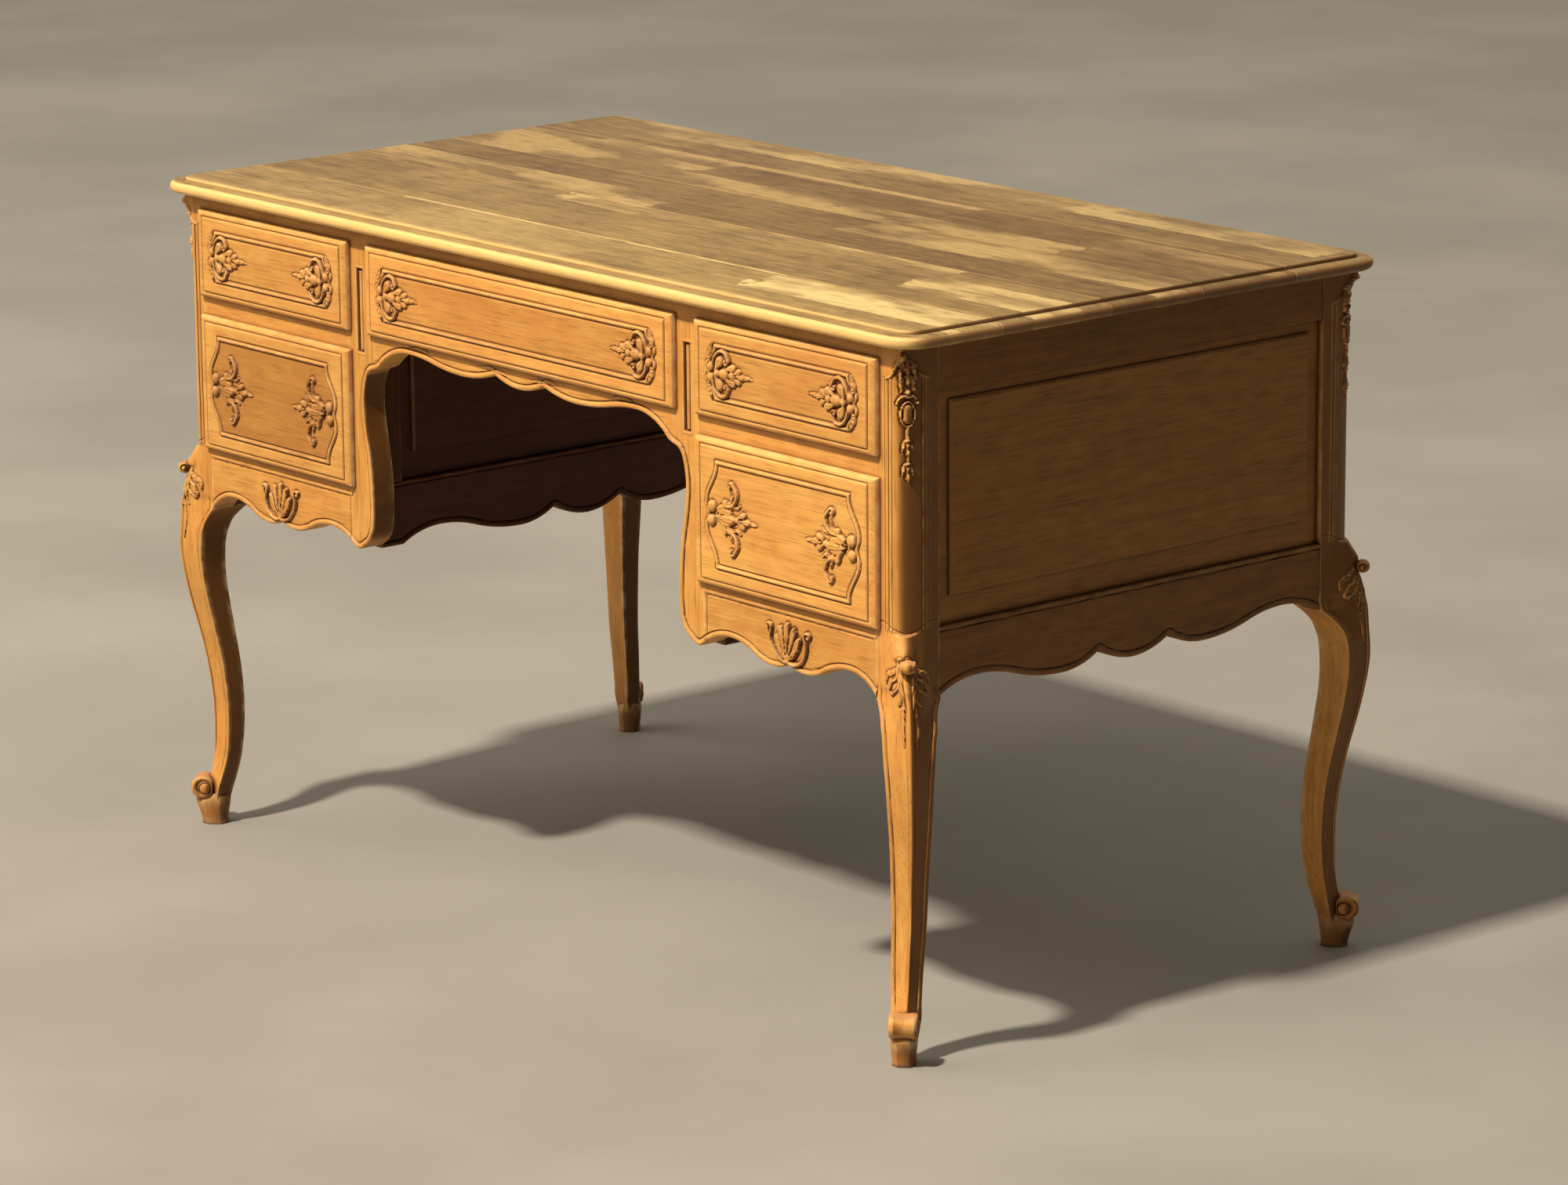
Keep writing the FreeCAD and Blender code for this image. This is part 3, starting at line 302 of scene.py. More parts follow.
@dataclass(frozen=True)
class Moulding:
    """Beads and incised lines side by side, each given as its middle, half its width and its height."""

    beads: tuple[Spot, ...]
    lines: tuple[Spot, ...]

    def heights(self, distance: np.ndarray) -> np.ndarray:
        """The relief at a distance from the edge that the moulding follows."""
        raised = sum(bead(distance, *line) for line in self.beads)
        return raised + sum(quirk(distance, *line) for line in self.lines)


def linked(name: str, data: bpy.types.ID) -> bpy.types.Object:
    """A new object in the scene.

    Args:
        name: Its name.
        data: The mesh, the lamp or the camera that it shows.

    Returns:
        The object.
    """
    made = bpy.data.objects.new(name, data)
    bpy.context.scene.collection.objects.link(made)
    return made


def make_mesh(name: str, points: np.ndarray, quads: np.ndarray) -> bpy.types.Object:
    """A smooth mesh object from places in millimetres and faces of four corners.

    Args:
        name: The piece's name.
        points: One row of x, y, z for each corner.
        quads: One row of four corner numbers for each face.

    Returns:
        The object, linked to the scene.
    """
    mesh = bpy.data.meshes.new(name)
    mesh.vertices.add(len(points))
    mesh.vertices.foreach_set("co", (np.asarray(points, np.float32) * MM).ravel())
    mesh.loops.add(quads.size)
    mesh.loops.foreach_set("vertex_index", quads.ravel().astype(np.int32))
    mesh.polygons.add(len(quads))
    mesh.polygons.foreach_set("loop_start", np.arange(0, quads.size, 4, dtype=np.int32))
    mesh.update(calc_edges=True)
    mesh.validate()
    return linked(name, mesh)


def sheet_quads(rows: int, columns: int, start: int = 0, wrap: bool = False) -> np.ndarray:
    """Faces of a sheet of points laid out in rows and columns.

    Args:
        rows: Number of rows.
        columns: Number of points in a row.
        start: Number of the first point.
        wrap: Whether each row closes on itself.

    Returns:
        One row of four corner numbers for each face.
    """
    index = start + np.arange(rows * columns).reshape(rows, columns)
    right = np.roll(index, -1, axis=1) if wrap else index[:, 1:]
    left = index if wrap else index[:, :-1]
    return np.stack([left[:-1], right[:-1], right[1:], left[1:]], axis=-1).reshape(-1, 4)


def swept(name: str, rows: np.ndarray) -> bpy.types.Object:
    """A mesh whose rows of points are rings one after another.

    Args:
        name: The piece's name.
        rows: The rings' points.

    Returns:
        The object.
    """
    count, width = rows.shape[:2]
    return make_mesh(name, rows.reshape(-1, 3), sheet_quads(count, width, wrap=True))


def capped(rows: Sequence[np.ndarray]) -> np.ndarray:
    """Rings of points with a ring drawn together to its middle added at each end."""
    ends = [np.repeat(rows[i].mean(0)[None], len(rows[0]), 0) for i in (0, -1)]
    return np.array([ends[0], *rows, ends[1]])


def finish_mesh(piece: bpy.types.Object, sharp_degrees: float = 50.0) -> None:
    """Turns faces outwards and shades them smooth up to an angle.

    Args:
        piece: The piece.
        sharp_degrees: The angle above which an edge stays sharp.
    """
    work = bmesh.new()
    work.from_mesh(piece.data)
    bmesh.ops.remove_doubles(work, verts=work.verts, dist=WELD * MM)
    bmesh.ops.recalc_face_normals(work, faces=work.faces)
    work.to_mesh(piece.data)
    work.free()
    piece.data.shade_smooth()
    piece.data.set_sharp_from_angle(angle=math.radians(sharp_degrees))


def mirrored(piece: bpy.types.Object, name: str, sx: float, sy: float) -> bpy.types.Object:
    """A copy of a piece turned over to another side of the desk.

    Args:
        piece: The piece to copy.
        name: The copy's name.
        sx: -1 to mirror from right to left.
        sy: -1 to mirror from back to front.

    Returns:
        The copy.
    """
    mesh = piece.data.copy()
    mesh.name = name
    mesh.transform(Matrix.Diagonal((sx, sy, 1, 1)))
    if sx * sy < 0:
        mesh.flip_normals()
    return linked(name, mesh)


@dataclass(frozen=True)
class Pattern:
    """A cloudy pattern: its fineness, its detail, and the values where it starts and is full."""

    scale: float
    detail: float
    low: float = 0.0
    high: float = 1.0


@dataclass(frozen=True)
class Figure:
    """The patterns, ranges and shares that all the finishes have in common."""

    grain: float = 0.06
    fine_grain: float = 0.022
    mottle_grain: float = 0.45
    wander: Pattern = Pattern(9.0, 2.0)
    wander_reach: float = 0.05
    bands: Pattern = Pattern(42.0, 2.0, 0.32, 0.70)
    streaks: Pattern = Pattern(190.0, 3.0, 0.36, 0.64)
    mottle: Pattern = Pattern(70.0, 4.0, 0.36, 0.66)
    band_share: float = 0.36
    streak_share: float = 0.28
    mottle_share: float = 0.36
    fibre: Pattern = Pattern(520.0, 2.0, 0.35, 0.70)
    fibre_share: float = 0.45
    fibre_rough: float = 0.25
    fibre_height: float = 0.6
    pores: Pattern = Pattern(1150.0, 1.0, 0.60, 0.70)
    cloud: Pattern = Pattern(5.0, 3.0, 0.38, 0.72)
    end_faces: Span = (0.50, 0.85)
    painted_rim_light_faces: Span = (0.08, 0.55)
    painted_side_shade_faces: Span = (0.62, 0.92)
    foot_heights: Span = (12.0, 62.0)
    foot_cloud: float = 0.3
    lot_range: float = 0.16
    lot_low: float = 0.92
    redness: Spot = (0.0, 0.25, 0.5)
    hollow_reach: float = 7.0
    hollow_range: Span = (0.40, 0.96)
    polish: float = 0.12
    relief: float = 0.25
    arris: float = 1.2
    worn_arris: float = 2.0
    worn_turn: Span = (0.86, 0.995)
    worn_crest: Span = (0.505, 0.56)
    dip: Span = (0.43, 0.496)
    rubbed: Pattern = Pattern(60.0, 2.0, 0.30, 0.75)
    shake: Pattern = Pattern(30.0, 4.0)
    shake_reach: Spot = (0.075, 0.006, 0.0)
    patch_range: Span = (0.62, 0.80)
    patch_shift: float = 0.37
    patch_cloud: Pattern = Pattern(11.0, 8.0, 0.40, 0.60)
    patch_cloud_size: Spot = (0.5, 1.6, 1.0)
    patch_cloud_share: float = 0.92


FIGURE = Figure()


class NodeTable:
    """A short way to lay out the nodes of one material."""

    def __init__(self, name: str) -> None:
        """Starts a material that has its main shader and output only.

        Args:
            name: The material's name.
        """
        self.material = bpy.data.materials.new(name)
        self.material.use_nodes = True
        self.tree = self.material.node_tree
        self.shader = self.tree.nodes["Principled BSDF"]

    def add(
        self, kind: str, links: dict[str | int, object] | None = None, **settings: object,
    ) -> bpy.types.Node:
        """Adds a node.

        Args:
            kind: The node's type without its common first part.
            links: Values or sockets by the input's name or number.
            settings: Properties of the node.

        Returns:
            The node.
        """
        node = self.tree.nodes.new("ShaderNode" + kind)
        for key, value in settings.items():
            setattr(node, key, value)
        for key, value in (links or {}).items():
            if isinstance(value, Socket):
                self.tree.links.new(value, node.inputs[key])
            else:
                node.inputs[key].default_value = value
        return node

    def place(self) -> Socket:
        """The coordinates of the piece itself."""
        return self.add("TexCoord").outputs["Object"]

    def math(self, operation: str, a: object, b: object = 0.0) -> Socket:
        """The result of a sum on two values or sockets."""
        return self.add("Math", {0: a, 1: b}, operation=operation).outputs[0]

    def times(self, a: object, b: object) -> Socket:
        """One value or socket times another."""
        return self.math("MULTIPLY", a, b)

    def plus(self, a: object, b: object) -> Socket:
        """One value or socket and another added up."""
        return self.math("ADD", a, b)

    def rest(self, share: Socket) -> Socket:
        """What a share leaves of the whole."""
        return self.math("SUBTRACT", 1.0, share)

    def moved(self, place: Socket, by: Socket) -> Socket:
        """Coordinates moved by a vector."""
        return self.add("VectorMath", {0: place, 1: by}).outputs[0]

    def ramp(self, value: Socket, low: float, high: float) -> Socket:
        """A value spread from 0 at low to 1 at high."""
        node = self.add("MapRange", {0: value, 1: low, 2: high}, interpolation_type="SMOOTHSTEP")
        return node.outputs[0]

    def mix(self, share: object, a: object, b: object, blend: str = "MIX") -> Socket:
        """A colour between two colours.

        Args:
            share: The second colour's share.
            a: The first colour.
            b: The second colour.
            blend: How the second colour is laid on.

        Returns:
            The colour.
        """
        node = self.add("Mix", None, data_type="RGBA", blend_type=blend)
        for socket, value in ((0, share), (6, a), (7, b)):
            if isinstance(value, Socket):
                self.tree.links.new(value, node.inputs[socket])
            else:
                node.inputs[socket].default_value = (*value, 1.0) if isinstance(value, tuple) else value
        return node.outputs[2]

    def glaze(self, colour: Socket, over: Colour, cover: Socket, share: float) -> Socket:
        """A colour with a share of another laid over it where the cover is."""
        return self.mix(self.times(cover, share), colour, over)

    def cloudy(self, where: Socket, pattern: Pattern, output: str = "Fac") -> Socket:
        """A pattern's plain value, or its colour, over a set of coordinates."""
        links = {"Vector": where, "Scale": pattern.scale, "Detail": pattern.detail}
        return self.add("TexNoise", links).outputs[output]

    def pattern(self, where: Socket, pattern: Pattern) -> Socket:
        """A pattern spread from 0 to 1 between its two ends."""
        return self.ramp(self.cloudy(where, pattern), pattern.low, pattern.high)

    def stretched(self, where: Socket, scale: Spot) -> Socket:
        """Coordinates drawn out along the axes."""
        return self.add("Mapping", {"Vector": where, "Scale": scale}).outputs[0]


@dataclass(frozen=True)
class OakFinish:
    """One finish of the oak: its tones, wear and gloss."""

    name: str
    light: Colour
    dark: Colour
    pore: Colour
    worn: Colour
    hollow: Colour
    blotch: Colour
    blotch_share: float = 0.35
    wear_share: float = 0.35
    hollow_share: float = 0.92
    roughness: float = 0.5
    gloss: float = 0.28
    pore_share: float = 0.5
    patch_share: float = 0.0
    end_grain: Colour = (0.36, 0.165, 0.075)
    end_share: float = 0.65
    # Painted light: paler golden tone laid on faces that look along y, the top's front and back edges.
    rim: Colour = (0.66, 0.385, 0.125)
    rim_share: float = 0.0
    # Painted shade: darker tone laid on faces that look along x, the sides of the desk and of the legs.
    painted_side_shade: Colour = (0.105, 0.038, 0.007)
    painted_side_shade_share: float = 0.0
    dip_share: float = 0.55
    grain_depth: float = 0.35
    foot: Colour = (0.31, 0.125, 0.046)
    foot_share: float = 0.0
    patch_size: Place = (0.66, 0.0684)

    def material(self, grain: Grain, surface: Surface) -> bpy.types.Material:
        """The finish as a material for boards of one grain direction.

        Args:
            grain: The axis of the grain.
            surface: Whether the piece is finely meshed.

        Returns:
            The material.
        """
        name = f"{self.name}_{grain.name.lower()}_{surface.value}"
        if name in bpy.data.materials:
            return bpy.data.materials[name]
        t = NodeTable(name)
        lot = t.add("ObjectInfo").outputs["Random"]
        place = t.moved(t.place(), t.add("CombineXYZ", {0: lot, 1: lot, 2: lot}).outputs[0])
        fine = t.stretched(place, grain.drawn_out(FIGURE.fine_grain))
        fibre = t.cloudy(fine, FIGURE.fibre)
        pores = t.pattern(fine, FIGURE.pores)
        cloud = t.pattern(place, FIGURE.cloud)
        colour = t.mix(self.bands(t, place, grain), self.dark, self.light)
        fibres = t.ramp(fibre, FIGURE.fibre.low, FIGURE.fibre.high)
        colour = t.glaze(colour, self.light, fibres, FIGURE.fibre_share)
        colour = t.glaze(colour, self.blotch, cloud, self.blotch_share)
        if self.patch_share:
            colour = t.glaze(colour, self.worn, self.patches(t, place), self.patch_share)
        colour = t.glaze(colour, self.pore, pores, self.pore_share)
        colour = self.zones(t, colour, cloud, grain)
        colour = t.mix(1.0, colour, self.patina(t, lot), "MULTIPLY")
        colour = self.worn_edges(t, colour, surface)
        hollow = t.add("AmbientOcclusion", {"Distance": FIGURE.hollow_reach * MM}, samples=8).outputs["AO"]
        hollow = t.rest(t.ramp(hollow, *FIGURE.hollow_range))
        colour = t.glaze(colour, self.hollow, hollow, self.hollow_share)
        t.tree.links.new(colour, t.shader.inputs["Base Color"])
        rough = t.plus(t.times(fibre, FIGURE.fibre_rough), self.roughness - FIGURE.polish)
        t.tree.links.new(rough, t.shader.inputs["Roughness"])
        t.shader.inputs["Specular IOR Level"].default_value = self.gloss
        self.raise_grain(t, fibre, pores, surface)
        return t.material

    def bands(self, t: NodeTable, place: Socket, grain: Grain) -> Socket:
        """The light and dark of the wood's bands, streaks and mottling.

        Args:
            t: The material's nodes.
            place: The coordinates.
            grain: The axis of the grain.

        Returns:
            The share of the light tone.
        """
        slow = t.stretched(place, grain.drawn_out(FIGURE.grain))
        wander = t.cloudy(slow, FIGURE.wander, "Color")
        warped = t.add("VectorMath", {0: wander, 3: FIGURE.wander_reach}, operation="SCALE").outputs[0]
        bent = t.moved(slow, warped)
        bands = t.times(t.pattern(bent, FIGURE.bands), FIGURE.band_share)
        bands = t.plus(bands, t.times(t.pattern(bent, FIGURE.streaks), FIGURE.streak_share))
        mottle = t.pattern(t.stretched(place, grain.drawn_out(FIGURE.mottle_grain)), FIGURE.mottle)
        return t.plus(bands, t.times(mottle, FIGURE.mottle_share))

    def zones(self, t: NodeTable, colour: Socket, cloud: Socket, grain: Grain) -> Socket:
        """Lays over the colour the end grain, painted light on faces that look along y, the feet darkened
        towards the floor and painted shade on faces that look along x.

        Args:
            t: The material's nodes.
            colour: The colour so far.
            cloud: The broad unevenness of the wood.
            grain: The axis of the grain.

        Returns:
            The new colour.
        """
        normal = t.add("SeparateXYZ", {0: t.add("NewGeometry").outputs["Normal"]})

        def facing(axis: int, faces: Span) -> Socket:
            """How far a face looks along an axis."""
            return t.ramp(t.math("ABSOLUTE", normal.outputs[axis]), *faces)

        colour = t.glaze(colour, self.end_grain, facing(grain.value, FIGURE.end_faces), self.end_share)
        # Painted light on the edges that face front and back.
        if self.rim_share:
            colour = t.glaze(colour, self.rim, facing(1, FIGURE.painted_rim_light_faces), self.rim_share)
        if self.foot_share:
            height = t.add("SeparateXYZ", {0: t.place()}).outputs[2]
            low = t.rest(t.ramp(height, *(end * MM for end in FIGURE.foot_heights)))
            uneven = t.plus(t.times(cloud, FIGURE.foot_cloud), 1 - FIGURE.foot_cloud)
            colour = t.glaze(colour, self.foot, t.times(low, uneven), self.foot_share)
        # Painted shade on faces that look along x, as if turned away from the lamp.
        if self.painted_side_shade_share:
            colour = t.glaze(colour, self.painted_side_shade, facing(0, FIGURE.painted_side_shade_faces), self.painted_side_shade_share)
        return colour

    def patina(self, t: NodeTable, lot: Socket) -> Socket:
        """How much lighter or darker, and redder, a piece or a place of it is.

        Args:
            t: The material's nodes.
            lot: The piece's own number.

        Returns:
            The factors of red, green and blue.
        """
        tone = t.add("Attribute", None, attribute_name="tone").outputs["Fac"]
        shade = t.plus(t.plus(t.times(lot, FIGURE.lot_range), FIGURE.lot_low), tone)
        factors = {number: t.plus(shade, t.times(tone, share)) for number, share in enumerate(FIGURE.redness)}
        return t.add("CombineXYZ", factors).outputs[0]

    def raise_grain(self, t: NodeTable, fibre: Socket, pores: Socket, surface: Surface) -> None:
        """Raises the fibres, sinks the pores and softens the arrises of plain solids.

        Args:
            t: The material's nodes.
            fibre: The fibres.
            pores: The pores.
            surface: Whether the piece is finely meshed.
        """
        height = t.math("SUBTRACT", t.times(fibre, FIGURE.fibre_height), pores)
        links = {"Strength": self.grain_depth, "Distance": FIGURE.relief * MM, "Height": height}
        bump = t.add("Bump", links)
        if surface is Surface.PLAIN:
            round_edge = t.add("Bevel", {"Radius": FIGURE.arris * MM}, samples=4)
            t.tree.links.new(round_edge.outputs[0], bump.inputs["Normal"])
        t.tree.links.new(bump.outputs[0], t.shader.inputs["Normal"])

    def patches(self, t: NodeTable, place: Socket) -> Socket:
        """The long paler patches, with uneven ends, on the boards.

        Args:
            t: The material's nodes.
            place: The coordinates.

        Returns:
            How strong the patches are.
        """
        shake = t.cloudy(place, FIGURE.shake, "Color")
        small = t.add("VectorMath", {0: shake, 1: FIGURE.shake_reach}, operation="MULTIPLY").outputs[0]
        place = t.moved(place, small)
        black, white = (0.0, 0.0, 0.0, 1.0), (1.0, 1.0, 1.0, 1.0)
        links = {
            "Vector": place, "Color1": black, "Color2": white, "Mortar": white, "Scale": 1.0,
            "Mortar Size": 0.0, "Brick Width": self.patch_size[0], "Row Height": self.patch_size[1],
        }
        bricks = t.add("TexBrick", links, offset=FIGURE.patch_shift, offset_frequency=3)
        patch = t.ramp(bricks.outputs["Color"], *FIGURE.patch_range)
        cloud = t.pattern(t.stretched(place, FIGURE.patch_cloud_size), FIGURE.patch_cloud)
        share = FIGURE.patch_cloud_share
        return t.times(patch, t.plus(t.times(cloud, share), 1 - share))

    def worn_edges(self, t: NodeTable, colour: Socket, surface: Surface) -> Socket:
        """Pales the colour where hands have rubbed the arrises and high places.

        Args:
            t: The material's nodes.
            colour: The colour so far.
            surface: Whether the piece is finely meshed.

        Returns:
            The paler colour.
        """
        geometry = t.add("NewGeometry")
        if surface is Surface.CARVED:
            rubbed = t.ramp(geometry.outputs["Pointiness"], *FIGURE.worn_crest)
            dips = t.rest(t.ramp(geometry.outputs["Pointiness"], *FIGURE.dip))
            colour = t.glaze(colour, self.hollow, dips, self.dip_share)
        else:
            soft = t.add("Bevel", {"Radius": FIGURE.worn_arris * MM}, samples=4).outputs[0]
            turn = t.add("VectorMath", {0: soft, 1: geometry.outputs["Normal"]}, operation="DOT_PRODUCT")
            rubbed = t.rest(t.ramp(turn.outputs["Value"], *FIGURE.worn_turn))
        patchy = t.pattern(t.place(), FIGURE.rubbed)
        return t.glaze(colour, self.worn, t.times(rubbed, patchy), self.wear_share)


@dataclass(frozen=True)
class Finishes:
    """The finishes of the desk."""

    case: OakFinish = OakFinish(
        "case_oak", light=(0.76, 0.385, 0.090), dark=(0.50, 0.205, 0.038), pore=(0.19, 0.070, 0.016),
        worn=(0.92, 0.66, 0.36), hollow=(0.10, 0.032, 0.008), blotch=(0.62, 0.24, 0.050),
        wear_share=0.55, hollow_share=0.85, painted_side_shade_share=0.9, foot_share=0.8,
    )
    drawer: OakFinish = OakFinish(
        "drawer_front_oak", light=(0.80, 0.42, 0.105), dark=(0.56, 0.245, 0.050),
        pore=(0.22, 0.085, 0.020), worn=(0.92, 0.66, 0.36), hollow=(0.10, 0.032, 0.008),
        blotch=(0.60, 0.235, 0.050), wear_share=0.50, hollow_share=0.85, blotch_share=0.5, end_share=0.8,
    )
    # Painted shade: the sides' oak is darkened to stand in for the shade on the desk's sides.
    side: OakFinish = OakFinish(
        "side_oak", light=(0.32, 0.138, 0.026), dark=(0.17, 0.063, 0.011), pore=(0.06, 0.021, 0.005),
        worn=(0.60, 0.36, 0.14), hollow=(0.03, 0.010, 0.003), blotch=(0.27, 0.098, 0.018),
    )
    # Painted shade: the side rails' oak is darker still, for the same shade.
    side_rail: OakFinish = replace(
        side, name="side_rail_oak", light=(0.215, 0.088, 0.016), dark=(0.105, 0.038, 0.006),
        worn=(0.50, 0.29, 0.11),
    )
    # The top carries painted shade on its side edges and painted light on its front and back edges.
    top: OakFinish = OakFinish(
        "top_oak", light=(0.235, 0.142, 0.045), dark=(0.085, 0.044, 0.012), pore=(0.050, 0.023, 0.007),
        worn=(0.56, 0.385, 0.150), hollow=(0.045, 0.018, 0.005), blotch=(0.32, 0.200, 0.068),
        blotch_share=0.45, pore_share=1.0, patch_share=0.66, rim_share=0.65, painted_side_shade=(0.13, 0.062, 0.015),
        painted_side_shade_share=0.7, grain_depth=0.75,
    )
    shaded: OakFinish = OakFinish(
        "shaded_oak", light=(0.080, 0.022, 0.006), dark=(0.042, 0.011, 0.003),
        pore=(0.020, 0.006, 0.002), worn=(0.40, 0.19, 0.06), hollow=(0.018, 0.006, 0.002),
        blotch=(0.12, 0.036, 0.010),
    )
    inner: OakFinish = OakFinish(
        "inner_oak", light=(0.42, 0.25, 0.10), dark=(0.30, 0.16, 0.06), pore=(0.14, 0.07, 0.03),
        worn=(0.52, 0.36, 0.18), hollow=(0.05, 0.02, 0.008), blotch=(0.34, 0.19, 0.08), roughness=0.68,
    )


FINISHES = Finishes()


def dress(piece: bpy.types.Object, finish: OakFinish, grain: Grain, surface: Surface) -> None:
    """Gives a piece its finish.

    Args:
        piece: The piece.
        finish: The oak finish.
        grain: The axis of its grain.
        surface: Whether it is finely meshed.
    """
    piece.data.materials.clear()
    piece.data.materials.append(finish.material(grain, surface))


def tint(piece: bpy.types.Object, tone: float | np.ndarray) -> None:
    """Makes a piece, or each place of it, lighter or darker than its finish.

    Args:
        piece: The piece.
        tone: The share by which it is lighter, or darker where negative.
    """
    mesh = piece.data
    values = np.broadcast_to(tone, len(mesh.vertices)).astype(np.float32)
    mesh.attributes.new("tone", "FLOAT", "POINT").data.foreach_set("value", values)


def seat(piece: bpy.types.Object, body: str, *nodes: str) -> None:
    """Lets a piece ride on a body and stand for nodes of the frame.

    Args:
        piece: The piece.
        body: The body that it moves with.
        nodes: The nodes that it takes the place of.
    """
    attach(piece, body)
    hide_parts(*nodes)
    log.info("%s stands for %s", piece.name, ", ".join(nodes))


@dataclass
class Carving:
    """Heights carved over a field of places, in millimetres above its surface."""

    u: np.ndarray
    v: np.ndarray
    vein_half: float = 0.22
    lobe_depth: float = 0.28
    lobe_sweep: float = 0.9
    moat: float = 1.1
    moat_half: float = 1.3
    moat_gap: float = 0.5
    margin: Place = (1.5, 1.6)
    samples: int = 30
    thinnest: float = 0.05

    def __post_init__(self) -> None:
        """Starts a flat field."""
        self.relief = np.zeros_like(self.u)
        self.ground = np.zeros_like(self.u)

    def stroke(
        self, points: Sequence[Place], radius: Callable[[np.ndarray], np.ndarray], height: float,
        vein: float = 0.0, lobes: float = 0.0,
    ) -> None:
        """Raises a rounded stroke along a smooth curve.

        Args:
            points: Places that the stroke passes through.
            radius: Half the stroke's width at each share of its length.
            height: Its height at the middle.
            vein: Depth of the vein along its middle, as a share of its height.
            lobes: Number of lobes along a leaf, or 0.
        """
        curve = smooth_curve(points)
        curve = smooth_curve(points)
        widest = float(np.max(radius(np.linspace(0, 1, self.samples))))
        reach = widest * self.margin[0] + self.margin[1]
        low = curve.min(0) - reach
        high = curve.max(0) + reach
        near = (self.u > low[0]) & (self.u < high[0]) & (self.v > low[1]) & (self.v < high[1])
        if not near.any():
            return
        start, run = curve[:-1], np.diff(curve, axis=0)
        length = np.maximum((run**2).sum(1), TINY)
        pu = self.u[near][:, None] - start[:, 0]
        pv = self.v[near][:, None] - start[:, 1]
        t = np.clip((pu * run[:, 0] + pv * run[:, 1]) / length, 0, 1)
        du = pu - t * run[:, 0]
        dv = pv - t * run[:, 1]
        share = (np.arange(len(run)) + t) / len(run)
        away = np.sqrt(du**2 + dv**2)
        across = away / np.maximum(radius(share), self.thinnest)
        best = np.argmin(across, axis=1)
        rows = np.arange(len(best))
        q, s, gap = across[rows, best], share[rows, best], away[rows, best]
        edge = radius(s)
        rise = np.sqrt(np.clip(1 - q**2, 0, 1))
        rise = rise * (1 - vein * np.exp(-((q / self.vein_half) ** 2)))
        if lobes:
            waves = np.cos(math.tau * (lobes * s - self.lobe_sweep * q))
            rise = rise * (1 - self.lobe_depth + self.lobe_depth * waves)
        self.relief[near] = np.maximum(self.relief[near], height * rise * (q < 1))
        cut = quirk(gap - edge, self.moat_gap, self.moat_half, self.moat)
        self.ground[near] = np.minimum(self.ground[near], cut)

    def over(self, raised: np.ndarray, plain: np.ndarray, depth: float = 1.0) -> np.ndarray:
        """The carved surface.

        Args:
            raised: Heights where the carving stands up.
            plain: Heights elsewhere, without the line cut round the carving.
            depth: The share of its depth to which that line is cut.

        Returns:
            The heights.
        """
        return np.where(self.relief > RAISED, raised, plain + depth * self.ground)


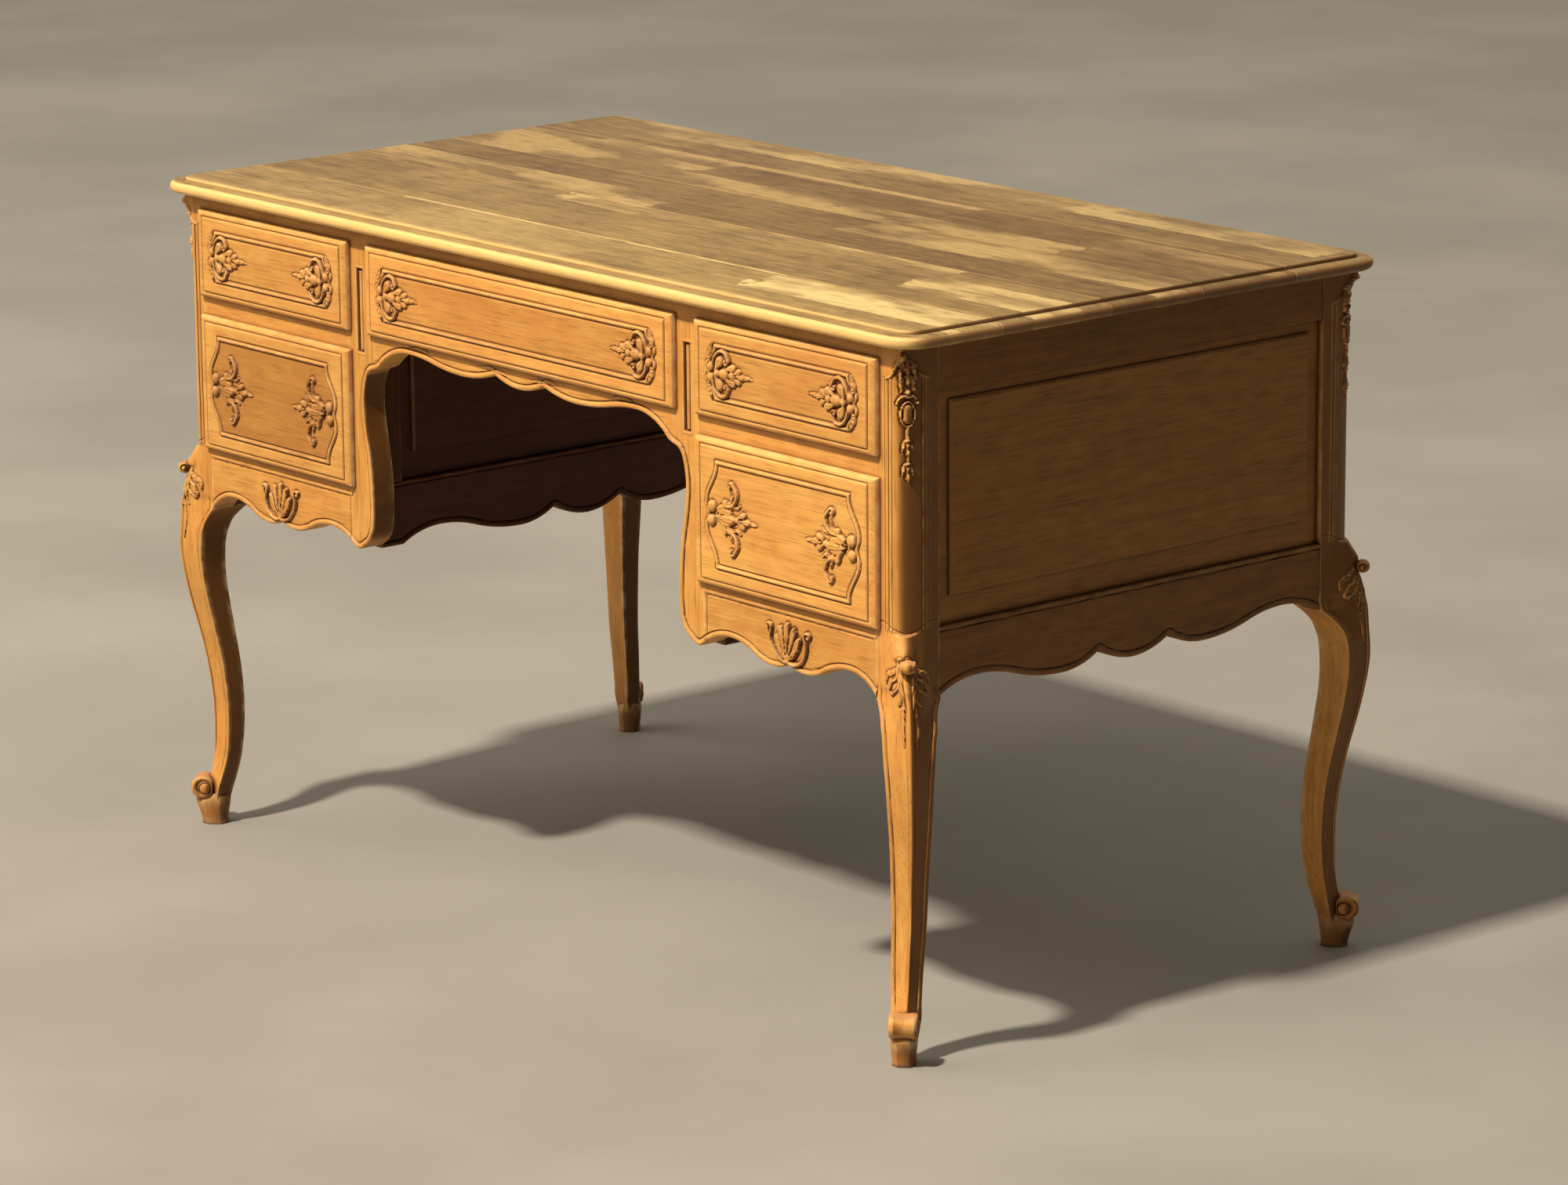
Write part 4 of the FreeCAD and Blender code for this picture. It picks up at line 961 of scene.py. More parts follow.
@dataclass
class Carver:
    """A carver at one place of a field, who can work mirrored and at another scale."""

    field: Carving
    origin: Place
    side: float = 1.0
    scale: float = 1.0
    rise: float = 1.25
    fullness: float = 1.1
    leaf_end: float = 0.35
    leaf_notch: float = 0.22
    leaf_vein: float = 0.35
    leaf_fall: float = 0.8
    leaf_bluntness: float = 0.7
    petal_base: float = 0.22
    petal_widest: float = 0.8
    petal_vein: float = 0.25
    petal_rise: float = 1.2
    tip_least: float = 0.04
    shortest: float = 0.01
    curl_points: int = 14
    curl_share: float = 0.78
    curl_end: float = 0.55
    eye_share: float = 1.1

    def place(self, points: Sequence[Place]) -> list[Place]:
        """Points of the design on the field."""
        return [
            (self.origin[0] + self.side * self.scale * u, self.origin[1] + self.scale * v)
            for u, v in points
        ]

    def scroll(self, points: Sequence[Place], start: float, end: float, height: float = 2.0) -> None:
        """A rounded stem that thickens or thins evenly.

        Args:
            points: Places of the stem.
            start: Half its width at the start.
            end: Half its width at the end.
            height: Its height.
        """
        def radius(s: np.ndarray) -> np.ndarray:
            """Half the stem's width at a share of its length."""
            return self.scale * (start + (end - start) * s)

        self.field.stroke(self.place(points), radius, height * self.rise)

    def leaf(self, points: Sequence[Place], width: float, height: float = 2.2, lobes: float = 3.0) -> None:
        """A leaf with a vein and lobes.

        Args:
            points: Places of its middle line, from its base to its tip.
            width: Half its greatest width.
            height: Its height.
            lobes: Number of lobes along it.
        """
        def radius(s: np.ndarray) -> np.ndarray:
            """Half the leaf's width at a share of its length.

            Args:
                s: Shares of the length.

            Returns:
                The half width at each share.
            """
            plain = np.sin(math.pi * np.clip(s, 0, 1) ** self.leaf_fall) ** self.leaf_bluntness
            scalloped = 1 - self.leaf_notch * np.abs(np.sin(math.pi * lobes * s))
            half = self.leaf_end + (width - self.leaf_end) * plain * scalloped
            return self.scale * self.fullness * half

        self.field.stroke(self.place(points), radius, height * self.rise, self.leaf_vein, lobes)

    def petal(self, points: Sequence[Place], width: float, height: float = 2.6) -> None:
        """A fluted petal that is widest near its rounded tip.

        Args:
            points: Places of its middle line, from its base to its tip.
            width: Half its greatest width.
            height: Its height.
        """
        def radius(s: np.ndarray) -> np.ndarray:
            """Half the petal's width at a share of its length.

            Args:
                s: Shares of the length.

            Returns:
                The half width at each share.
            """
            widest = self.petal_widest
            swell = self.petal_base + (1 - self.petal_base) * np.clip(s / widest, 0, 1) ** self.petal_rise
            past = np.clip(s - widest, 0, 1) / (1 - widest)
            tip = np.sqrt(np.clip(1 - past**2, self.tip_least, 1))
            return self.scale * self.fullness * width * swell * tip

        self.field.stroke(self.place(points), radius, height * self.rise, self.petal_vein)

    def bud(self, centre: Place, radius: float, height: float = 2.4, stretch: Place = (0.0, 0.0)) -> None:
        """A round bud, or an oval one where it is stretched.

        Args:
            centre: Its middle.
            radius: Its radius.
            height: Its height.
            stretch: How far its ends lie from its middle.
        """
        start = (centre[0] - stretch[0], centre[1] - stretch[1])
        end = (centre[0] + stretch[0] + self.shortest, centre[1] + stretch[1])
        half = self.scale * self.fullness * radius
        self.field.stroke(self.place([start, end]), lambda s: np.full_like(s, half), height * self.rise)

    def curl(
        self, centre: Place, radius: float, start: float, turns: float, thick: float, height: float = 2.0,
    ) -> None:
        """A spiral that winds in to an eye.

        Args:
            centre: The eye's place.
            radius: The outer radius.
            start: Angle of the outer end in degrees.
            turns: Turns inwards, negative to wind clockwise.
            thick: Half the band's width at its outer end.
            height: Its height.
        """
        points = []
        for i in range(self.curl_points + 1):
            share = i / self.curl_points
            angle = math.radians(start + 360 * turns * share)
            reach = radius * (1 - self.curl_share * share)
            points.append((centre[0] + reach * math.cos(angle), centre[1] + reach * math.sin(angle)))
        self.scroll(points, thick, thick * self.curl_end, height)
        self.bud(centre, thick * self.eye_share, height * self.eye_share)


class EndSpray(Enum):
    """The carved spray at each end of a drawer's panel."""

    ROSETTE = "dense rosette"
    TALL = "tall spray"


def carve_rosette(c: Carver) -> None:
    """The dense rosette of scrolls and petals, with a leaf that points inwards.

    Args:
        c: The carver at its place.
    """
    for up in (1, -1):
        c.bud((-2.5, 5.8 * up), 4.9, 3.4)
        c.leaf([(-6.5, 10 * up), (-6.0, 18 * up), (-1, 29 * up)], 3.6, 2.6, 4)
        c.scroll([(1, 9 * up), (4, 17 * up), (12, 23.5 * up), (21, 22.5 * up), (26, 15 * up)], 1.9, 2.2, 3.0)
        c.curl((21.5, 14.0 * up), 4.6, 30 * up, -0.8 * up, 1.7, 3.0)
        c.petal([(6, 3 * up), (9, 9 * up), (13, 14.5 * up)], 5.6, 3.4)
        c.petal([(18, 3 * up), (27, 7 * up), (35, 8.5 * up)], 4.2, 3.0)
        c.petal([(33, 1 * up), (38, 4 * up), (43, 6 * up)], 3.4, 2.6)
    c.bud((8, 0), 4.4, 3.8)
    c.bud((19, 0), 5.6, 3.8, (2.0, 0))
    c.bud((31, 0), 4.4, 3.2)
    c.petal([(36, 0), (43, 0.4), (49, 0)], 3.2, 2.6)
    c.leaf([(47, 0), (55, 0.5), (63, 0)], 2.4, 2.0, 2)


def carve_tall_spray(c: Carver) -> None:
    """The tall spray: a heart between scrolls that curl up and down, a pair of buds and a trefoil.

    Args:
        c: The carver at its place.
    """
    c.bud((-3.0, 8.6), 6.2, 3.8)
    c.bud((-4.0, -6.2), 5.8, 3.8)
    stems = (
        (1, [(7, 8), (16, 11.5), (27, 12.5), (35, 19), (37, 28), (31, 35.5)], (27.0, 33.5)),
        (-1, [(22, -13), (30, -15.5), (36, -21), (38, -29), (33, -36.5)], (28.5, -35.0)),
    )
    for up, stem, end in stems:
        c.scroll(stem, 2.0, 2.2, 3.0)
        c.scroll([(u + 0.62 * (24 - u) * 0.28, z - 3.6 * up) for u, z in stem[:-1]], 1.0, 1.0, 1.8)
        c.curl(end, 4.6, 40 * up, 0.75 * up, 1.8, 3.0)
        c.petal([(8, 0), (16, 5.5 * up), (27, 5.0 * up)], 4.4, 3.4)
        c.petal([(39, 0.5 * up), (43, 4.4 * up), (49, 6.4 * up)], 3.6, 3.0)
        c.petal([(9, 4 * up), (16, 9.5 * up), (19, 17 * up)], 3.8, 3.2)
        c.leaf([(20, 12 * up), (27, 17 * up), (29, 26 * up)], 2.8, 2.8, 3)
        c.leaf([(29, 13 * up), (37, 12 * up), (43, 16 * up)], 2.2, 2.4, 2)
    c.petal([(6, 0), (18, -1), (33, -1.5)], 5.0, 4.0)
    c.petal([(20, -8), (24, -11), (25, -16)], 3.4, 3.0)
    c.petal([(6, 3), (9, 7), (13, 10)], 3.6, 3.0)
    c.bud((37, -0.5), 3.4, 2.6)
    c.petal([(42, 0), (49, -0.4), (56, -0.6)], 3.6, 3.0)
    c.leaf([(54, -0.6), (61, -0.8), (69, -1.2)], 2.4, 2.0, 2)


def carve_shell(c: Carver) -> None:
    """The fluted shell between two scrolls, above the notch in each pedestal's apron.

    Args:
        c: The carver at its place.
    """
    c.scroll([(-3, 5), (-13, 7), (-22, 15), (-28, 26), (-26.5, 37)], 2.0, 1.7, 2.8)
    c.curl((-31, 38.5), 4.8, 0, 0.85, 1.7, 2.8)
    c.scroll([(4, 5), (15, 5), (24, 12), (28.5, 24), (26.5, 35)], 2.4, 1.9, 3.0)
    c.curl((31.5, 37), 5.2, 180, -0.85, 1.8, 3.0)
    fan = (((-18, 32), 4.0), ((-11.5, 42.5), 4.2), ((-1, 47), 4.3), ((10.5, 43), 4.2), ((18.5, 33), 4.0))
    for (u, z), width in fan:
        c.petal([(0.16 * u, 10), (0.55 * u, 0.55 * z), (u, z)], width, 4.0)
    for side in (1, -1):
        c.scroll([(2 * side, 8), (9 * side, 12), (15 * side, 20)], 1.6, 1.2, 3.4)
        c.bud((15.5 * side, 21.5), 2.4, 3.4)
    c.bud((0, 7), 3.6, 3.6)
    c.leaf([(0, 10), (0, 19), (0, 28)], 2.2, 3.6, 2)


@dataclass
class DrawerFront:
    """A lipped drawer front with its moulded panel and carved ends.

    A line is given as half its width and its depth, and the step as its start, its end and its rise.
    """

    name: str
    x0: float
    x1: float
    z0: float
    z1: float
    spray: EndSpray
    pitch: float = 1.15
    lip_proud: float = 7.5
    lip_side: float = 1.6
    lip_radius: float = 5.6
    end_band: float = 12.0
    long_band: float = 7.4
    field_rise: float = 1.0
    panel_end: float = 37.0
    panel_margin: float = 20.5
    panel_bulge: float = 13.0
    notch: float = 3.6
    tongue: float = 8.5
    inside: float = 13.5
    tone: float = 0.0
    tone_fade: float = 6.0
    bulge_range: Span = (0.26, 0.90)
    notch_reach: float = 0.20
    band_line: Place = (1.0, 1.9)
    band_step: float = 0.5
    panel_moulding: Moulding = Moulding(((2.9, 2.1, 1.5),), ((0.0, 1.1, 1.7), (5.9, 1.1, 1.6)))
    panel_step: Spot = (5.3, 6.2, 0.4)
    back_insets: Place = (60.0, 45.0)

    @property
    def body(self) -> str:
        """The body of the frame that the front rides on."""
        return self.name + "_drawer"

    def panel_bound(self, z: np.ndarray) -> np.ndarray:
        """How far the panel's ends bulge out at a height.

        Args:
            z: Heights.

        Returns:
            The bulge at each height.
        """
        middle = (self.z0 + self.z1) / 2
        half = (self.z1 - self.z0) / 2 - self.panel_margin
        w = np.clip(np.abs(z - middle) / half, 0, 1)
        bulge = self.panel_bulge * (1 - ease(w, *self.bulge_range))
        return bulge - self.notch * (1 - ease(w, 0.0, self.notch_reach))

    def patina(self, piece: bpy.types.Object) -> np.ndarray:
        """How much darker each place of the panel is than the band round it.

        Args:
            piece: The drawer front.

        Returns:
            The tone at each of its corners.
        """
        places = np.empty(len(piece.data.vertices) * 3)
        piece.data.vertices.foreach_get("co", places)
        x, z = places[0::3] / MM, places[2::3] / MM
        reach = self.panel_bound(z) - self.panel_end
        across = np.minimum(x - self.x0, self.x1 - x) + reach
        upright = np.minimum(z - self.z0, self.z1 - z) - self.panel_margin
        return self.tone * ease(np.minimum(across, upright), 0.0, self.tone_fade)

    def outline(self) -> np.ndarray:
        """The panel's serpentine outline as a closed run of points."""
        low = self.z0 + self.panel_margin
        high = self.z1 - self.panel_margin
        z = np.linspace(low, high, 60)
        bulge = self.panel_bound(z)
        right = np.stack([self.x1 - self.panel_end + bulge, z], axis=1)
        left = np.stack([self.x0 + self.panel_end - bulge, z], axis=1)[::-1]
        return np.vstack([right, left, right[:1]])

    def surface(self, x: np.ndarray, z: np.ndarray) -> np.ndarray:
        """How far the front stands out from the case.

        Args:
            x: Places along the desk.
            z: Heights.

        Returns:
            The distance out at each place.
        """
        dx = np.minimum(x - self.x0, self.x1 - x)
        dz = np.minimum(z - self.z0, self.z1 - z)
        e = np.minimum(dx * self.long_band / self.end_band, dz)
        curve = np.sqrt(np.clip(1 - (1 - np.clip(e / self.lip_radius, 0, 1)) ** 2, 0, 1))
        out = self.lip_side + (self.lip_proud - self.lip_side) * curve
        out = out + quirk(e, self.long_band, *self.band_line)
        out = out + self.field_rise * ease(e, self.long_band, self.long_band + self.band_step)
        distance = self.panel_distance(x, z)
        step_start, step_end, step = self.panel_step
        out = out + self.panel_moulding.heights(distance) + step * ease(distance, step_start, step_end)
        carving = Carving(x, z)
        middle = (self.z0 + self.z1) / 2
        carve = carve_rosette if self.spray is EndSpray.ROSETTE else carve_tall_spray
        for side, start in ((1.0, self.x0 + self.panel_end), (-1.0, self.x1 - self.panel_end)):
            carve(Carver(carving, (start, middle), side))
        return carving.over(self.lip_proud + self.field_rise + carving.relief, out)

    def panel_distance(self, x: np.ndarray, z: np.ndarray) -> np.ndarray:
        """Distance inwards from the panel's outline, negative outside it.

        Args:
            x: Places along the desk.
            z: Heights.

        Returns:
            The distance at each place.
        """
        away = line_distance(self.outline(), x, z)
        bulge = self.panel_bound(z)
        inside = (x > self.x0 + self.panel_end - bulge) & (x < self.x1 - self.panel_end + bulge)
        inside &= (z > self.z0 + self.panel_margin) & (z < self.z1 - self.panel_margin)
        return np.where(inside, 1, -1) * away

    def build(self) -> None:
        """Builds the front and lets it ride on its drawer."""
        xs = np.linspace(self.x0, self.x1, int((self.x1 - self.x0) / self.pitch) + 1)
        zs = np.linspace(self.z0, self.z1, int((self.z1 - self.z0) / self.pitch) + 1)
        x, z = np.meshgrid(xs, zs)
        face = np.stack([x, -DESK.half_depth - self.surface(x, z), z], axis=-1)
        ring = np.concatenate([face[0], face[1:, -1], face[-1, -2::-1], face[-2:0:-1, 0]])
        rings = [ring]
        inmost, upright = self.back_insets
        for inset, y in ((0.0, 0.0), (self.tongue, 0.0), (self.tongue, self.inside), (inmost, self.inside)):
            loop = ring.copy()
            loop[:, 0] = np.clip(loop[:, 0], self.x0 + inset, self.x1 - inset)
            loop[:, 2] = np.clip(loop[:, 2], self.z0 + min(inset, upright), self.z1 - min(inset, upright))
            loop[:, 1] = -DESK.half_depth + y
            rings.append(loop)
        back = rings[-1].copy()
        back[:, 2] = (self.z0 + self.z1) / 2
        rings.append(back)
        skirt = sheet_quads(len(rings), len(ring), x.size, wrap=True)
        points = np.vstack([face.reshape(-1, 3)] + rings)
        quads = np.vstack([sheet_quads(len(zs), len(xs)), skirt])
        piece = make_mesh(self.name + "_front_carved", points, quads)
        finish_mesh(piece)
        tint(piece, self.patina(piece))
        dress(piece, FINISHES.drawer, Grain.ALONG_X, Surface.CARVED)
        seat(piece, self.body, self.name + "_drawer_front")


@dataclass(frozen=True)
class EdgeBead:
    """The rounded bead and the incised line that follow a scalloped edge."""

    moulding: Moulding = Moulding(((3.0, 2.9, 1.3),), ((6.7, 1.1, 1.6),))
    softness: float = 1.1
    soft_reach: float = 1.3

    def heights(self, distance: np.ndarray) -> np.ndarray:
        """The relief at a distance from the edge."""
        return self.moulding.heights(distance) - self.softness * (1 - ease(distance, 0.0, self.soft_reach))


EDGE = EdgeBead()


def rows_above(columns: np.ndarray, line: np.ndarray, top: float, count: int) -> np.ndarray:
    """Heights of the rows of a grid between a scalloped edge and a level one.

    Args:
        columns: Where the columns lie along the edge.
        line: The scalloped edge.
        top: Height of the level edge.
        count: Number of rows.

    Returns:
        Rows and columns of heights.
    """
    low = np.interp(columns, line[:, 0], line[:, 1])
    return low + (top - low) * np.linspace(0, 1, count)[:, None]


@dataclass
class FrontOutline:
    """The scalloped lower edge of the whole front: arch, serpentine stiles and pedestal aprons."""

    apron_low: float = 387.0
    apron_rise: float = 17.5
    apron_outer: tuple[Place, ...] = (
        (0.0, 0.35), (0.085, 0.09), (0.18, 0.0), (0.30, 0.118), (0.42, 0.50),
        (0.555, 0.88), (0.69, 1.0), (0.845, 0.754), (1.0, -0.17),
    )
    apron_inner_end: tuple[Place, ...] = ((0.845, 0.817), (1.0, 0.20))
    arch_foot: float = 597.0
    arch_rise: float = 27.5
    arch_middle: tuple[Place, ...] = ((0.0, 0.64), (0.08, 0.727), (0.16, 1.0))
    arch_outer: tuple[Place, ...] = (
        (0.16, 1.0), (0.27, 0.712), (0.38, 0.62), (0.48, 0.665), (0.58, 0.80),
        (0.67, 0.943), (0.76, 0.99), (0.8625, 0.806), (0.965, 0.15),
    )
    stile_edge: tuple[Place, ...] = (
        (0.0, 1.0), (0.15, 0.990), (0.30, 0.950), (0.405, 0.862), (0.42, 0.767), (0.37, 0.68),
        (0.277, 0.576), (0.19, 0.452), (0.149, 0.31), (0.14, 0.233), (0.17, 0.157), (0.30, 0.071),
        (0.575, 0.019), (0.77, 0.0), (1.0, 0.0166667),
    )

    @property
    def apron_middle(self) -> float:
        """The middle of the right pedestal's apron."""
        return (DESK.opening_inner + DESK.opening_outer) / 2

    def arch(self) -> np.ndarray:
        """The arch's edge from its middle to the stile."""
        half = DESK.centre_opening
        edge = scallops((self.arch_middle, self.arch_outer), half, self.arch_foot, self.arch_rise)
        return np.vstack([edge, [[half, self.arch_foot]]])

    def stile(self) -> np.ndarray:
        """The stile's serpentine edge from the arch to the apron."""
        start = DESK.centre_opening
        width, rise = DESK.opening_inner - start, self.arch_foot - self.apron_low
        return scallops((self.stile_edge,), width, self.apron_low, rise, start)

    def apron(self) -> np.ndarray:
        """The pedestal apron's edge from the stile to the post."""
        half = (DESK.opening_outer - DESK.opening_inner) / 2
        inner = (self.apron_outer[:-2] + self.apron_inner_end)[::-1]
        sides = ((inner, -half), (self.apron_outer, half))
        left, right = (
            scallops((run,), width, self.apron_low, self.apron_rise, self.apron_middle)
            for run, width in sides
        )
        return np.vstack([left, right[1:]])

    def whole(self) -> np.ndarray:
        """The whole right half's edge, with the arch's left half before it."""
        arch = self.arch()
        left = arch[::-1] * np.array([-1.0, 1.0])
        return np.vstack([left, arch[1:], self.stile()[1:], self.apron()[1:]])


def board_piece(name: str, face: np.ndarray, back_shift: Sequence[float]) -> bpy.types.Object:
    """A closed board from a carved face and the way to its back.

    Args:
        name: The piece's name.
        face: Rows and columns of places on the carved face.
        back_shift: The way from the face's ground to the back.

    Returns:
        The board.
    """
    rows, columns = face.shape[:2]
    thickness = np.asarray(back_shift, float)
    axis = int(np.argmax(np.abs(thickness)))
    back = face.copy()
    back[..., axis] = np.median(face[..., axis]) + thickness[axis]
    count = rows * columns
    ring = np.concatenate([
        np.arange(columns), np.arange(1, rows) * columns + columns - 1,
        (rows - 1) * columns + np.arange(columns - 2, -1, -1), np.arange(rows - 2, 0, -1) * columns,
    ])
    front_places, back_places = face.reshape(-1, 3), back.reshape(-1, 3)
    rings, walls = [ring], []
    for number, share in enumerate(WALL_SHARES):
        rings.append(2 * count + number * len(ring) + np.arange(len(ring)))
        walls.append(front_places[ring] + (back_places[ring] - front_places[ring]) * share)
    rings.append(ring + count)
    quads = [sheet_quads(rows, columns), sheet_quads(rows, columns, count)]
    for near, far in zip(rings, rings[1:]):
        quads.append(np.stack([near, np.roll(near, -1), np.roll(far, -1), far], axis=1))
    piece = make_mesh(name, np.vstack([front_places, back_places, *walls]), np.vstack(quads))
    finish_mesh(piece)
    return piece


@dataclass
class FrontFrame:
    """The carved front frame: the arch, two stiles and two aprons.

    Beads and lines are given as their middle, half their width and their height or depth. The first
    number is left out where the line lies on an edge.
    """

    outline: FrontOutline = field(default_factory=FrontOutline)
    pitch: float = 1.15
    moulding_drop: float = 12.0
    slot_half: float = 5.5
    slot_foot: float = 614.0
    slot_top: float = 709.0
    slot_depth: float = 3.0
    return_foot: float = 457.0
    return_step: float = 4.0
    return_proud: float = 0.6
    return_bead: Spot = (2.5, 2.0, 0.5)
    apron_rows: int = 62
    apron_line: Place = (1.0, 1.5)
    apron_bead: Spot = (3.2, 2.0, 0.9)
    stile_line: Spot = (4.5, 0.9, 1.3)
    line_ends: Span = (5.0, 6.0)
    post_ends: Span = (3.0, 6.0)
    shell_rise: float = 4.0
    toe_rows: int = 22
    toe_reach: float = 15.0
    stile_columns: int = 48
    slot_fade: Span = (-1.0, 0.2)
    slot_rod: Place = (3.0, 2.4)
    slot_floor: float = -2.5
    slot_rim: Spot = (1.6, 1.4, 0.7)
    arch_rows: int = 34
    vein_rise: float = 34.0
    far_vein: Place = (0.66, 36.0)
    vein_cut: float = 0.5

    def relief(self, x: np.ndarray, z: np.ndarray) -> np.ndarray:
        """The carving common to the whole front, as heights out from its face."""
        distance = line_distance(self.outline.whole(), x, z)
        return EDGE.heights(distance)

    def face(self, x: np.ndarray, z: np.ndarray, out: np.ndarray) -> np.ndarray:
        """Places of the carved face in space."""
        return np.stack([x, -DESK.half_depth - out, z], axis=-1)

    def apron(self) -> bpy.types.Object:
        """The right pedestal's apron with its shell."""
        d = DESK
        count = int((d.opening_outer - d.opening_inner) / self.pitch)
        columns = np.linspace(d.opening_inner, d.opening_outer, count)
        z = rows_above(columns, self.outline.apron(), d.apron_top, self.apron_rows)
        x = np.broadcast_to(columns, z.shape)
        height = d.lower_foot - self.moulding_drop
        starts, ends = self.post_ends
        inner = ease(x, *(d.opening_inner + end for end in self.line_ends))
        inner = inner * ease(-x, starts - d.opening_outer, ends - d.opening_outer)
        out = self.relief(x, z) + quirk(z, height, *self.apron_line) * inner
        out = out + bead(z - height, *self.apron_bead)
        out = out + quirk(x - d.opening_inner, *self.stile_line) * (z < height)
        carving = Carving(x, z)
        foot = (self.outline.apron_middle, self.outline.apron_low + self.shell_rise)
        carve_shell(Carver(carving, foot))
        out = carving.over(np.maximum(out, 0) + carving.relief, out)
        return board_piece("front_apron_right_carved", self.face(x, z, out), (0, d.frame_thickness, 0))

    def stile(self) -> bpy.types.Object:
        """The right inner stile with its serpentine edge and its sunk slot."""
        d = DESK
        edge = self.outline.stile()
        lowest = int(np.argmin(edge[:, 1]))
        foot = edge[lowest, 1]
        toe = foot + self.toe_reach * np.linspace(0, 1, self.toe_rows) ** 2
        upper = np.arange(foot + self.toe_reach + 1, d.opening_top, 1.0)
        rows = np.concatenate([toe, upper, [d.opening_top]])
        inner = edge[: lowest + 1][::-1]
        outer = edge[lowest:]
        left = np.interp(rows, inner[:, 1], inner[:, 0])
        right = np.interp(rows, outer[:, 1], outer[:, 0])
        s = np.linspace(0, 1, self.stile_columns)
        x = left[:, None] + (right - left)[:, None] * s
        z = np.broadcast_to(rows[:, None], x.shape)
        out = self.relief(x, z)
        middle = (d.bank_inner + d.centre_half) / 2
        slot_middle = (self.slot_foot + self.slot_top) / 2
        upright = np.abs(z - slot_middle) - (self.slot_top - self.slot_foot) / 2
        gap = np.maximum(np.abs(x - middle) - self.slot_half, upright)
        sunk = -self.slot_depth * (1 - ease(gap, *self.slot_fade))
        rounded = bead(x - middle, 0.0, *self.slot_rod) * (gap < self.slot_floor)
        out = out + sunk + rounded + bead(gap, *self.slot_rim) * (gap > 0)
        return board_piece("front_stile_right_carved", self.face(x, z, out), (0, d.frame_thickness, 0))

    def stile_return(self) -> bpy.types.Object:
        """The right stile's return behind it, which carries the kneehole's side frame."""
        d = DESK
        y = np.arange(self.pitch - d.frame_back, -d.stile_inner_y, self.pitch)
        z = np.arange(self.return_foot, d.opening_top, self.return_step)[:, None]
        z, y = np.broadcast_to(z, (len(z), len(y))), np.broadcast_to(y, (len(z), len(y)))
        soft = bead(np.abs(y + d.stile_inner_y), *self.return_bead)
        face = np.stack([d.inner_face + self.return_proud - soft, y, z], axis=-1)
        return board_piece("front_stile_return_right", face, (d.opening_inner - d.inner_face, 0, 0))

    def arch(self) -> bpy.types.Object:
        """The scalloped arch under the middle drawer, with leaf veins above its notches."""
        d = DESK
        half = d.centre_opening
        columns = np.linspace(-half, half, int(2 * half / self.pitch))
        z = rows_above(np.abs(columns), self.outline.arch(), d.arch_top, self.arch_rows)
        x = np.broadcast_to(columns, z.shape)
        out = self.relief(x, z)
        carving = Carving(x, z)
        foot = self.outline.arch_foot
        notch_share = self.outline.arch_middle[-1][0]
        far_share, far_rise = self.far_vein
        for side in (1.0, -1.0):
            notch = Carver(carving, (side * notch_share * half, foot + self.vein_rise), side)
            notch.leaf([(0, -1), (10, 0.5), (24, -1.5)], 2.4, 0.9, 4)
            notch.leaf([(0, -1), (-9, -1.5), (-20, -4)], 2.2, 0.9, 4)
            end = Carver(carving, (side * far_share * half, foot + far_rise), side)
            end.leaf([(-12, -2), (4, 0.5), (22, -1)], 2.4, 0.9, 5)
        out = carving.over(np.maximum(out, 0) + carving.relief, out, self.vein_cut)
        return board_piece("kneehole_arch_carved", self.face(x, z, out), (0, d.frame_thickness, 0))

    def pair(
        self, piece: bpy.types.Object, left: str, node: str, finish: OakFinish, grain: Grain,
    ) -> None:
        """Dresses a piece and its mirror image on the left and seats both.

        Args:
            piece: The right piece.
            left: The left piece's name.
            node: The first part of the names of both nodes.
            finish: The oak finish.
            grain: The axis of the grain.
        """
        for board, side in ((piece, "_right"), (mirrored(piece, left, -1, 1), "_left")):
            dress(board, finish, grain, Surface.CARVED)
            seat(board, CASE_BODY, node + side)

    def build(self) -> None:
        """Builds the frame's carved pieces and seats them."""
        apron, stile = self.apron(), self.stile()
        self.pair(apron, "front_apron_left_carved", "front_apron", FINISHES.case, Grain.ALONG_X)
        self.pair(stile, "front_stile_left_carved", "front_stile", FINISHES.case, Grain.ALONG_Z)
        back = self.stile_return()
        self.pair(back, "front_stile_return_left", "front_stile", FINISHES.shaded, Grain.ALONG_Z)
        arch = self.arch()
        dress(arch, FINISHES.case, Grain.ALONG_X, Surface.CARVED)
        seat(arch, CASE_BODY, "kneehole_arch")


